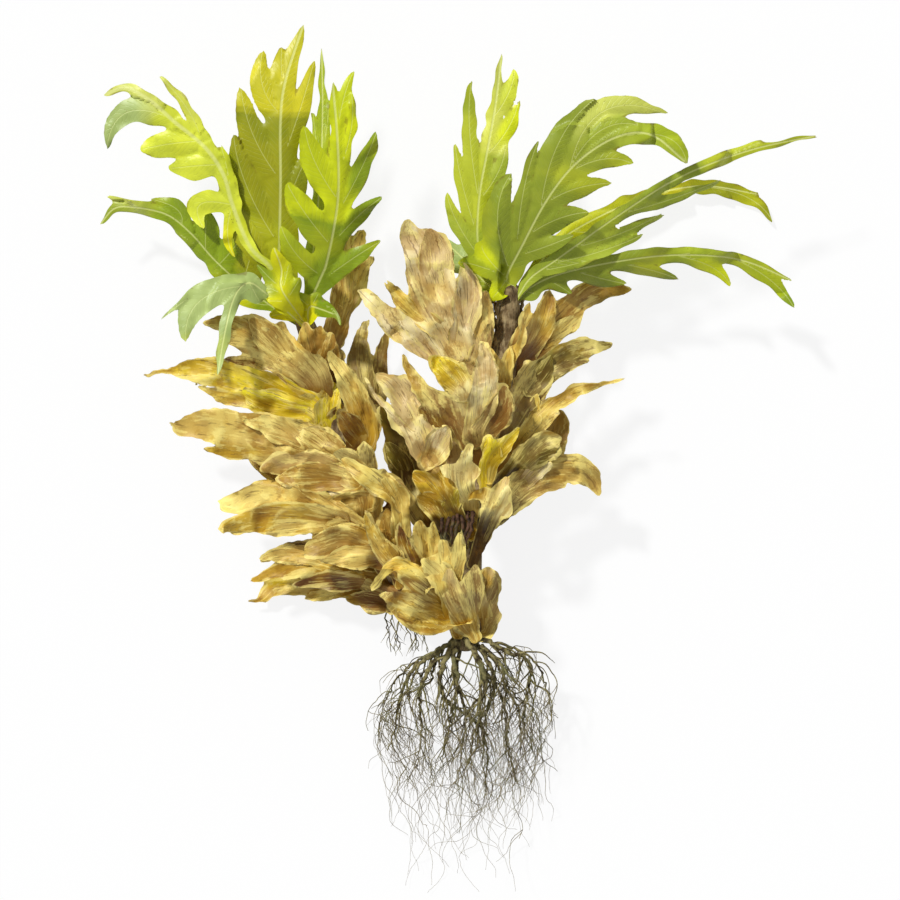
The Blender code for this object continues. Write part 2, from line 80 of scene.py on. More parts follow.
TONES = {
    # green fronds
    "olive": linear(164, 162, 12),
    "ochre": linear(232, 220, 36),
    "lime": linear(230, 240, 20),
    "lemon": linear(242, 250, 70),
    "yellow": linear(240, 236, 10),
    "fresh": linear(186, 202, 34),
    "green": linear(150, 172, 28),
    "deep": linear(132, 156, 14),
    "meadow": linear(176, 190, 56),
    "dusky": linear(156, 168, 48),
    "pale": linear(226, 230, 104),
    "glaucous": linear(188, 206, 124),
    # dry fronds
    "tan": linear(208, 174, 78),
    "cream": linear(248, 222, 120),
    "sand": linear(216, 188, 122),
    "khaki": linear(178, 152, 88),
    "dark": linear(60, 40, 22),
    "linen": linear(248, 230, 174),
    "ivory": linear(255, 240, 160),
    "butter": linear(255, 232, 122),
    "gold": linear(218, 180, 42),
    "bright": linear(255, 236, 44),
    "brown": linear(168, 128, 58),
    "grey": linear(172, 154, 86),
    "moss": linear(134, 120, 26),
    "rust": linear(126, 84, 28),
}
WHITE = (1.0, 1.0, 1.0, 1.0)
DEEP_GREEN = rgba(96, 122, 14)
YELLOW_GREEN = rgba(224, 226, 30)
PALE_VEIN = rgba(234, 238, 156)
SCORCH = rgba(122, 98, 28)
DARK_BROWN = rgba(104, 68, 20)
WARM_BROWN = rgba(150, 106, 32)
GOLDEN = rgba(218, 176, 48)
STRAW = rgba(255, 236, 138)
GREYED = rgba(172, 150, 92)
ROOT_MOSS = rgba(128, 128, 84)
# SHADED makes the darker copy of a dry frond's tone, used for its darker patches and fibres and for
# painted shade in its fold valleys and at its foot.
SHADED = (0.52, 0.37, 0.19, 1.0)  # what a dry frond's tone is multiplied by in its darker parts


# ------------------------------------------------------------------ fronds


class Lobe(NamedTuple):
    """One lobe of a frond."""

    path: tuple  # where its vein leaves the midrib, at times a point that it bends towards, its tip
    width: float  # half width
    tone: str = None  # a tone of its own, in place of the frond's


class Frond(NamedTuple):
    """One frond. The midrib runs from the seat through the points of its path."""

    name: str
    body: float  # half width of the blade between its lobes
    # On a green frond the tones are partly its own colour and partly painted light and shade: darker
    # bases and lobes stand for the shade of fronds over them, paler tips and lobes for sunlit parts.
    tones: tuple  # (at the base, at the tip)
    path: tuple
    lobes: tuple = ()
    change: float = 0.6  # share of the midrib at which the base's tone gives way to the tip's
    waist: float = 0.14  # share of the midrib at which a green body reaches its full width
    rib: float = 1.0  # how wide a green midrib is drawn
    # The next field draws the painted shade at a dry frond's foot in towards its seat, by that many
    # millimetres.
    less_foot_shade: float = 0.0  # how much farther from the seat a dry frond's colours are
    tail: float = 0.0  # share of the midrib that is a narrow tail
    rise: float = 0.0  # how far it stands over the fronds beside it
    layered: bool = True  # whether some of a dry frond's lobes lie over the others


class Form(NamedTuple):
    """How a frond's strips are drawn from the widths in the table."""

    stalk: float  # half width of the midrib's strip at the seat
    body: float  # how much wider the body is drawn
    lobe: float  # how much wider the lobes are drawn
    blunt: float  # the power by which tips close: the lower, the blunter


GREEN_FORM = Form(stalk=2.5, body=1.2, lobe=1.12, blunt=0.62)
DRY_FORM = Form(stalk=6.0, body=1.3, lobe=1.25, blunt=0.58)


def papery(name):
    """Whether the frond is one of the dry shield fronds."""
    return name.startswith("shield")


def sighted(x, y, z):
    """Where a place read from above, at the tables' level, lies at its own height."""
    shrink = 1 - (z - LEVEL) / DISTANCE
    return EYE[0] + (x - EYE[0]) * shrink, EYE[1] + (y - EYE[1]) * shrink


class Wobble:
    """Smooth noise over the plane, about -1 to 1, from waves of one length in all directions."""

    def __init__(self, seed, length, waves=7):
        random = np.random.default_rng(seed)
        turn = random.uniform(0, 2 * np.pi, waves)
        pace = 2 * np.pi / (length * random.uniform(0.7, 1.4, waves))
        self.x, self.y = np.cos(turn) * pace, np.sin(turn) * pace
        self.phase = random.uniform(0, 2 * np.pi, waves)

    def __call__(self, x, y):
        waves = np.sin(x[..., None] * self.x + y[..., None] * self.y + self.phase)
        return waves.sum(-1) / math.sqrt(len(self.phase))


def rows(*columns):
    """One row for each point, from arrays with one number for each point."""
    return np.stack(columns, 1)


def bezier(start, middle, end, count):
    """A quadratic Bezier curve."""
    u = np.linspace(0, 1, count)[:, None]
    return (1 - u) ** 2 * start + 2 * u * (1 - u) * middle + u**2 * end


def spline(points, count):
    """A Catmull-Rom curve through the points."""
    points = np.asarray(points, float)
    padded = np.vstack([2 * points[0] - points[1], points, 2 * points[-1] - points[-2]])
    place = np.linspace(0, len(points) - 1, count)
    k = np.minimum(place.astype(int), len(points) - 2)
    x = (place - k)[:, None]
    before, a, b, after = (padded[k + step] for step in range(4))
    return 0.5 * (
        2 * a
        + (b - before) * x
        + (2 * before - 5 * a + 4 * b - after) * x**2
        + (3 * a - before - 3 * b + after) * x**3
    )


class Strip:
    """A tapering strip of blade along a curve: the midrib's own, or one lobe's."""

    def __init__(self, curve, radii):
        self.curve = curve
        self.radii = radii
        steps = np.linalg.norm(np.diff(curve, axis=0), axis=1)
        self.walked = np.concatenate([[0], np.cumsum(steps)])
        self.length = self.walked[-1]

    def measure(self, x, y):
        """(distance outside the strip, signed distance to its vein, share of its length)."""
        a, step = self.curve[:-1], np.diff(self.curve, axis=0)
        to_x, to_y = x[:, None] - a[:, 0], y[:, None] - a[:, 1]
        along = (to_x * step[:, 0] + to_y * step[:, 1]) / (step**2).sum(1)
        along = np.clip(along, 0, 1)
        off_x, off_y = to_x - along * step[:, 0], to_y - along * step[:, 1]
        off = np.hypot(off_x, off_y)
        outside = off - (self.radii[:-1] + np.diff(self.radii) * along)
        k = outside.argmin(1)
        row = np.arange(len(x))
        side = np.sign(step[k, 0] * off_y[row, k] - step[k, 1] * off_x[row, k])
        walked = self.walked[k] + along[row, k] * np.diff(self.walked)[k]
        return outside[row, k], side * off[row, k], walked / self.length


def strips_of(frond, seat, random):
    """The midrib's strip and one for each lobe."""
    form, waist = (DRY_FORM, DRY_WAIST) if papery(frond.name) else (GREEN_FORM, frond.waist)
    curve = spline([seat, *frond.path], 8 * len(frond.path) + 1)
    inward = (curve[0] - curve[1]) / np.linalg.norm(curve[0] - curve[1])
    midrib = np.vstack([seat + ROOTED * inward, curve])
    share = np.linspace(0, 1, len(midrib))
    body = frond.body * form.body
    broad = np.clip((share - 0.05) / waist, 0, 1) ** 0.7
    tapering = np.clip(share / (1 - frond.tail), 0, 1)
    radii = (form.stalk + (body - form.stalk) * broad) * (1 - tapering**2.8) ** form.blunt
    if frond.tail:
        radii = np.maximum(radii, TAIL * (1 - share**12) ** 0.5)
    strips = [Strip(midrib, radii)]
    for lobe in frond.lobes:
        base, *bends, tip = np.array(lobe.path, float)
        start = midrib[np.linalg.norm(midrib - base, axis=1).argmin()]
        if bends:
            control = 2 * bends[0] - (start + tip) / 2
        else:
            reach = tip - start
            bend = BEND * random.uniform(-1, 1)
            control = (start + tip) / 2 + bend * np.array([-reach[1], reach[0]])
        s = np.linspace(0, 1, 14)
        shape = (0.75 + 0.25 * np.sin(np.pi * np.clip(s * 1.1, 0, 1))) * (1 - s**2.6) ** form.blunt
        strips.append(Strip(bezier(start, control, tip, len(s)), lobe.width * form.lobe * shape))
    return strips


def smooth_union(a, b, web):
    """The distance to the union of two forms, with the corner between them rounded."""
    mix = np.clip(0.5 + 0.5 * (b - a) / web, 0, 1)
    return b + (a - b) * mix - web * mix * (1 - mix)


class Heights:
    """The height of a CAD solid's upper side, smoothed, and carried on past its edge."""

    NOTHING = -1e9

    def __init__(self, node):
        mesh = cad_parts[node].data
        mesh.calc_loop_triangles()
        points = np.array([tuple(vertex.co) for vertex in mesh.vertices]) / MM
        self.low = points[:, :2].min(0) - MARGIN
        self.counts = np.ceil((points[:, :2].max(0) + MARGIN - self.low) / CELL).astype(int) + 1
        top = np.full(self.counts, self.NOTHING)
        for triangle in mesh.loop_triangles:
            self.stamp(top, points[list(triangle.vertices)])
        known = top > self.NOTHING / 2
        height = np.where(known, top, 0.0)
        self.grid = np.full(self.counts, top[known].mean())
        for reach in (4 * SOFTEN, SOFTEN):
            blurred, weight = self.blur(height, reach), self.blur(known.astype(float), reach)
            self.grid = np.where(weight > 1e-3, blurred / np.maximum(weight, 1e-3), self.grid)

    def stamp(self, top, corners):
        """Raise the grid's points under the triangle to its height."""
        a, b, c = ((corner[:2] - self.low) / CELL for corner in corners)
        first = np.maximum(np.floor(np.minimum(np.minimum(a, b), c)).astype(int), 0)
        last = np.minimum(np.ceil(np.maximum(np.maximum(a, b), c)).astype(int) + 1, top.shape)
        x, y = np.mgrid[first[0] : last[0], first[1] : last[1]]
        area = (b[0] - a[0]) * (c[1] - a[1]) - (c[0] - a[0]) * (b[1] - a[1])
        if abs(area) < 1e-9 or x.size == 0:
            return
        second = ((x - a[0]) * (c[1] - a[1]) - (c[0] - a[0]) * (y - a[1])) / area
        third = ((b[0] - a[0]) * (y - a[1]) - (x - a[0]) * (b[1] - a[1])) / area
        inside = (second >= 0) & (third >= 0) & (second + third <= 1)
        x, y, second, third = x[inside], y[inside], second[inside], third[inside]
        height = (1 - second - third) * corners[0][2] + second * corners[1][2] + third * corners[2][2]
        top[x, y] = np.maximum(top[x, y], height)

    @staticmethod
    def blur(field, reach):
        """The field under a Gaussian blur."""
        radius = int(2 * reach / CELL)
        offsets = np.arange(-radius, radius + 1)
        weights = np.exp(-0.5 * (offsets * CELL / reach) ** 2)
        weights /= weights.sum()
        for axis in (0, 1):
            padded = np.pad(field, [(radius, radius) if k == axis else (0, 0) for k in (0, 1)])
            field = sum(
                w * np.take(padded, range(k, k + field.shape[axis]), axis)
                for k, w in enumerate(weights)
            )
        return field

    def at(self, x, y):
        """The height at each place, read between the grid's points."""
        place_x = np.clip((x - self.low[0]) / CELL, 0, self.counts[0] - 1.001)
        place_y = np.clip((y - self.low[1]) / CELL, 0, self.counts[1] - 1.001)
        i, j = place_x.astype(int), place_y.astype(int)
        fx, fy = place_x - i, place_y - j
        return (
            (1 - fx) * (1 - fy) * self.grid[i, j]
            + fx * (1 - fy) * self.grid[i + 1, j]
            + (1 - fx) * fy * self.grid[i, j + 1]
            + fx * fy * self.grid[i + 1, j + 1]
        )


def cut_blade(distance, x, y):
    """Triangles over the part of the grid where distance is under 0, and the points they use.

    Points close to the outline are moved onto it first, so that no sliver is left.
    """
    slope_x, slope_y = np.gradient(distance, CELL)
    steep = np.maximum(slope_x**2 + slope_y**2, 1e-6)
    near = np.abs(distance) < SNAP * CELL * np.sqrt(steep)
    x = x - np.where(near, distance * slope_x / steep, 0)
    y = y - np.where(near, distance * slope_y / steep, 0)
    field = np.where(near, 0.0, distance)
    nx, ny = field.shape
    index = np.arange(nx * ny).reshape(nx, ny)
    a, b, c, d = index[:-1, :-1], index[1:, :-1], index[1:, 1:], index[:-1, 1:]
    odd = (np.add.outer(np.arange(nx - 1), np.arange(ny - 1)) % 2).astype(bool)
    first = np.where(odd[..., None], np.stack([a, b, c], -1), np.stack([a, b, d], -1))
    second = np.where(odd[..., None], np.stack([a, c, d], -1), np.stack([b, c, d], -1))
    triangles = np.concatenate([first.reshape(-1, 3), second.reshape(-1, 3)])
    field, raw = field.ravel(), distance.ravel()
    points = list(zip(x.ravel(), y.ravel()))
    values = field[triangles]
    whole = (values <= 0).all(1) & ((values < 0).any(1) | (raw[triangles].sum(1) < 0))
    kept = [tuple(t) for t in triangles[whole]]
    crossings = {}

    def crossing(i, j):
        """The point where the outline crosses an edge of the grid."""
        key = (min(i, j), max(i, j))
        if key not in crossings:
            share = field[i] / (field[i] - field[j])
            crossings[key] = len(points)
            (x0, y0), (x1, y1) = points[i], points[j]
            points.append((x0 + (x1 - x0) * share, y0 + (y1 - y0) * share))
        return crossings[key]

    for triangle in triangles[(values < 0).any(1) & (values > 0).any(1)]:
        polygon = []
        for k in range(3):
            i, j = triangle[k], triangle[(k + 1) % 3]
            if field[i] <= 0:
                polygon.append(i)
            if field[i] * field[j] < 0:
                polygon.append(crossing(i, j))
        kept += [(polygon[0], polygon[k], polygon[k + 1]) for k in range(1, len(polygon) - 1)]
    return np.array(points), np.array(kept)


def largest_piece(triangles):
    """The triangles of the largest connected piece, without corners where two pieces only touch."""
    while True:
        parent = {}

        def root(v):
            while parent.setdefault(v, v) != v:
                parent[v] = parent[parent[v]]
                v = parent[v]
            return v

        for a, b, c in triangles:
            parent[root(a)] = root(b)
            parent[root(b)] = root(c)
        owner = np.array([root(t[0]) for t in triangles])
        names, sizes = np.unique(owner, return_counts=True)
        triangles = triangles[owner == names[sizes.argmax()]]
        edges = {(t[k - 1], t[k]) for t in triangles for k in range(3)}
        rim = [start for start, end in edges if (end, start) not in edges]
        found, times = np.unique(rim, return_counts=True)
        pinched = set(found[times > 1].tolist())
        if not pinched:
            return triangles
        triangles = np.array([t for t in triangles if not pinched.intersection(t.tolist())])


def cut_out(strips, ragged, seed):
    """The outline of the strips' union, its margin wavy, as (x, y, triangles)."""
    everything = np.concatenate([strip.curve for strip in strips])
    widest = max(strip.radii.max() for strip in strips) + 10
    low = np.floor((everything.min(0) - widest) / CELL) * CELL
    counts = np.ceil((everything.max(0) + widest - low) / CELL).astype(int) + 1
    grid_x, grid_y = np.mgrid[0 : counts[0], 0 : counts[1]]
    grid_x, grid_y = low[0] + grid_x * CELL, low[1] + grid_y * CELL
    x, y = grid_x.ravel(), grid_y.ravel()
    warp_x, warp_y = (
        sum(reach * Wobble([seed, k, axis], length)(x, y) for k, (reach, length) in enumerate(ragged))
        for axis in (0, 1)
    )
    distance = None
    for strip in strips:
        outside = strip.measure(x + warp_x, y + warp_y)[0]
        distance = outside if distance is None else smooth_union(outside, distance, WEB)
    points, triangles = cut_blade(distance.reshape(grid_x.shape), grid_x, grid_y)
    used, triangles = np.unique(largest_piece(triangles), return_inverse=True)
    return *points[used].T, triangles.reshape(-1, 3)


class Reading:
    """Where each point of a blade lies on the strips that the blade is made of."""

    def __init__(self, strips, x, y):
        measured = np.array([strip.measure(x, y) for strip in strips])
        outside, self.offs, self.shares = measured.transpose(1, 0, 2)
        row = np.arange(len(x))
        self.nearest = outside.argmin(0)
        self.off, self.share = self.offs[self.nearest, row], self.shares[self.nearest, row]
        self.along = self.share * np.array([strip.length for strip in strips])[self.nearest]
        self.mid, self.mid_share = self.offs[0], self.shares[0]
        self.edge = -np.minimum(outside.min(0), 0)
        self.gap = np.abs(self.offs).min(0)
        ranked = np.sort(outside, axis=0)
        apart = ranked[1] - ranked[0] if len(strips) > 1 else np.full(len(x), 10.0)
        self.seam = np.clip(apart, 0, 10)
        weights = np.exp((outside.min(0) - outside) / 3)
        self.weights = weights / weights.sum(0)
        # The way the fibres run: they fan out from the midrib's base and bend with it.
        down = self.mid_share * strips[0].length + 25
        self.across, self.down = 60 * np.arctan2(self.mid, down), np.hypot(self.mid, down)

    def blend(self, values):
        """One value for each strip, or one for each strip and point, flowing into one another."""
        values = np.asarray(values, float)
        return (self.weights * (values if values.ndim == 2 else values[:, None])).sum(0)

    def margin(self):
        """0 well inside the blade, rising to 1 at its margin."""
        return np.clip(1 - self.edge / 9, 0, 1) ** 2


def new_piece(name, points, faces, material):
    """A smooth object from groups of points in millimetres."""
    mesh = bpy.data.meshes.new(name)
    mesh.from_pydata((np.concatenate(points) * MM).tolist(), [], faces)
    mesh.shade_smooth()
    mesh.materials.append(material)
    piece = bpy.data.objects.new(name, mesh)
    bpy.context.scene.collection.objects.link(piece)
    return piece


class Blades:
    """Closed blades of even thickness in one mesh, with what their material reads at each point."""

    def __init__(self):
        self.points, self.faces, self.marks, self.count = [], [], [], 0

    def add(self, x, y, z, triangles, **marks):
        """Add a blade with its middle at (x, y, z), and numbers or rows of three for each point."""
        top, under = self.count, self.count + len(x)
        self.points += [np.stack([x, y, z + side * BLADE / 2], 1) for side in (1, -1)]
        self.faces += [(a + top, b + top, c + top) for a, b, c in triangles]
        self.faces += [(c + under, b + under, a + under) for a, b, c in triangles]
        edges = {(t[k - 1], t[k]) for t in map(tuple, triangles) for k in range(3)}
        for a, b in sorted(edges):
            if (b, a) not in edges:
                self.faces.append((b + top, a + top, a + under, b + under))
        self.marks.append(marks)
        self.count += 2 * len(x)

    def build(self, name, material):
        blade = new_piece(name, self.points, self.faces, material)
        blade.data.set_sharp_from_angle(angle=math.radians(60))
        for mark in self.marks[0]:
            values = np.concatenate([side for marks in self.marks for side in [marks[mark]] * 2])
            kind, key = ("FLOAT", "value") if values.ndim == 1 else ("FLOAT_VECTOR", "vector")
            attribute = blade.data.attributes.new(mark, kind, "POINT")
            attribute.data.foreach_set(key, values.astype(np.float32).ravel())
        return blade


def seat_of(node, bark):
    """The middle of a CAD solid's seat: its points that lie on the bark."""
    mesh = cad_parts[node].data
    near = [v.co / MM for v in mesh.vertices if bark.find_nearest(v.co)[3] < 1.0 * MM]
    return np.mean([tuple(point) for point in near], axis=0)[:2]


def loose(from_seat):
    """How free the blade is to move: 0 at the seat, 1 from 39 mm away."""
    return np.clip(from_seat / 30 - 0.3, 0, 1)


def toned(frond, at, members, mid_share, blur):
    """The colour of each point: the frond's own along its midrib, and that of each toned lobe. On
    green fronds the tones also paint shade and sunlit patches.
    """
    change = np.clip((mid_share - frond.change) / blur + 0.5, 0, 1)[:, None]
    tone = TONES[frond.tones[0]] * (1 - change) + TONES[frond.tones[-1]] * change
    for k, member in enumerate(members):
        if member and frond.lobes[member - 1].tone:
            share = (at.weights[k] * np.clip(at.shares[k] * 4 - 0.6, 0, 1))[:, None]
            tone = tone * (1 - share) + TONES[frond.lobes[member - 1].tone] * share
    return tone


def make_green(frond, seed, strips, random):
    """A green frond: one flat blade, cut into lobes."""
    x, y, triangles = cut_out(strips, GREEN_MARGIN, seed)
    at, seat = Reading(strips, x, y), strips[0].curve[1]
    free = loose(np.hypot(x - seat[0], y - seat[1]))
    lift = random.uniform(0.2, 1.0, len(strips))[at.nearest]
    z = Heights(frond.name).at(x, y) - SUNK + frond.rise
    z += free * 1.2 * at.margin() * Wobble([seed, 6], 34)(x, y)  # the margin is ruffled,
    z -= free * 2.0 * np.clip(np.abs(at.off) / 12, 0, 1.3) ** 1.3  # each lobe arched over its vein,
    z += free * (lift - 0.5) * 6 * at.share**3  # and its tip raised or lowered
    z = np.maximum(z, LOWEST)
    # The tones are partly the frond's colour and partly painted shade and sunlit patches.
    tone = toned(frond, at, range(len(strips)), at.mid_share, 0.03)
    tint = random.uniform(-1, 1, len(strips))[at.nearest]
    blades = Blades()
    blades.add(*sighted(x, y, z), z, triangles, tone=tone, vein=rows(at.off, at.along, at.gap),
               place=rows(at.mid / frond.rib, at.edge, tint), seam=at.seam)
    return blades


def folded(whole, seed):
    """The height of a dry frond's folds, which run with its fibres."""
    fold = 0
    for reach, length in FOLDS:
        rolling = Wobble([seed, 7, length], length)(whole.across, 0.3 * whole.down)
        fold = fold + reach * (1 - 2.4 * np.abs(rolling))
    return fold


def make_dry(frond, seed, strips, random):
    """A dry frond: one lobed sheet, and over it every other lobe again, with its margins free."""
    heights = Heights(frond.name)
    group, number = frond.name.split("_")[1:]
    order = {"back": 0, "left": int(number), "right": int(number), "crown": 12 + int(number)}[group]
    seat = strips[0].curve[1]
    everything = list(range(len(strips)))
    cup, lift = random.uniform(1.0, 4.0, len(strips)), random.uniform(-1, 5, len(strips))
    tints = random.uniform(-1, 1, len(strips))
    blades = Blades()
    over = everything[1::2] if frond.layered else []
    for rank, members in enumerate([everything, *([k] for k in over)]):
        own = [strips[k] for k in members]
        x, y, triangles = cut_out(own, DRY_MARGIN, 50 * seed + rank)
        at, whole = Reading(own, x, y), Reading(strips, x, y)
        from_seat = np.hypot(x - seat[0], y - seat[1])
        free, fold = loose(from_seat), folded(whole, seed)
        z = heights.at(x, y) - SUNK + frond.rise + RISE * order * free
        z += free * (fold + 1.5 * Wobble([seed, 5], 34)(x, y))
        z += free * at.blend(cup[members, None] * np.clip(np.abs(at.offs) / 14, 0, 1.4) ** 1.6 - 1.0)
        z += free * at.blend(lift[members, None] * at.shares**4)
        z += free * 1.6 * at.margin() * Wobble([seed, rank, 6], 24)(x, y)
        if rank:  # an upper lobe starts inside the sheet and comes out of it
            z += -0.9 + 2.6 * np.clip(at.along / 26, 0, 1)
        z = np.maximum(z, LOWEST)
        tone = toned(frond, at, members, whole.mid_share, 0.7)
        # Painted shade: where the base tone is dark, the frond's foot goes dark towards its seat,
        # deep among the other fronds.
        if frond.tones[0] == "dark":
            shade = np.clip(1.7 - from_seat / 34, 0, 1)[:, None]
            tone = tone * (1 - shade) + TONES["dark"] * shade
        pattern = at.down + 300.0 * seed + 37.0 * rank  # so that no two sheets look the same
        blades.add(*sighted(x, y, z), z, triangles, tone=tone, gap=at.gap,
                   place=rows(from_seat + frond.less_foot_shade, at.edge, at.blend(tints[members])),
                   flow=rows(at.across, pattern, fold))
    return blades


def make_frond(frond, seed, bark, materials):
    """Put a blade in place of the frond's CAD solid."""
    random = np.random.default_rng(seed)
    strips = strips_of(frond, seat_of(frond.name, bark), random)
    make, material = (make_dry, "dry") if papery(frond.name) else (make_green, "green")
    blade = make(frond, seed, strips, random).build(frond.name + "_blade", materials[material])
    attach(blade, "root")
    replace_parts(blade, frond.name)


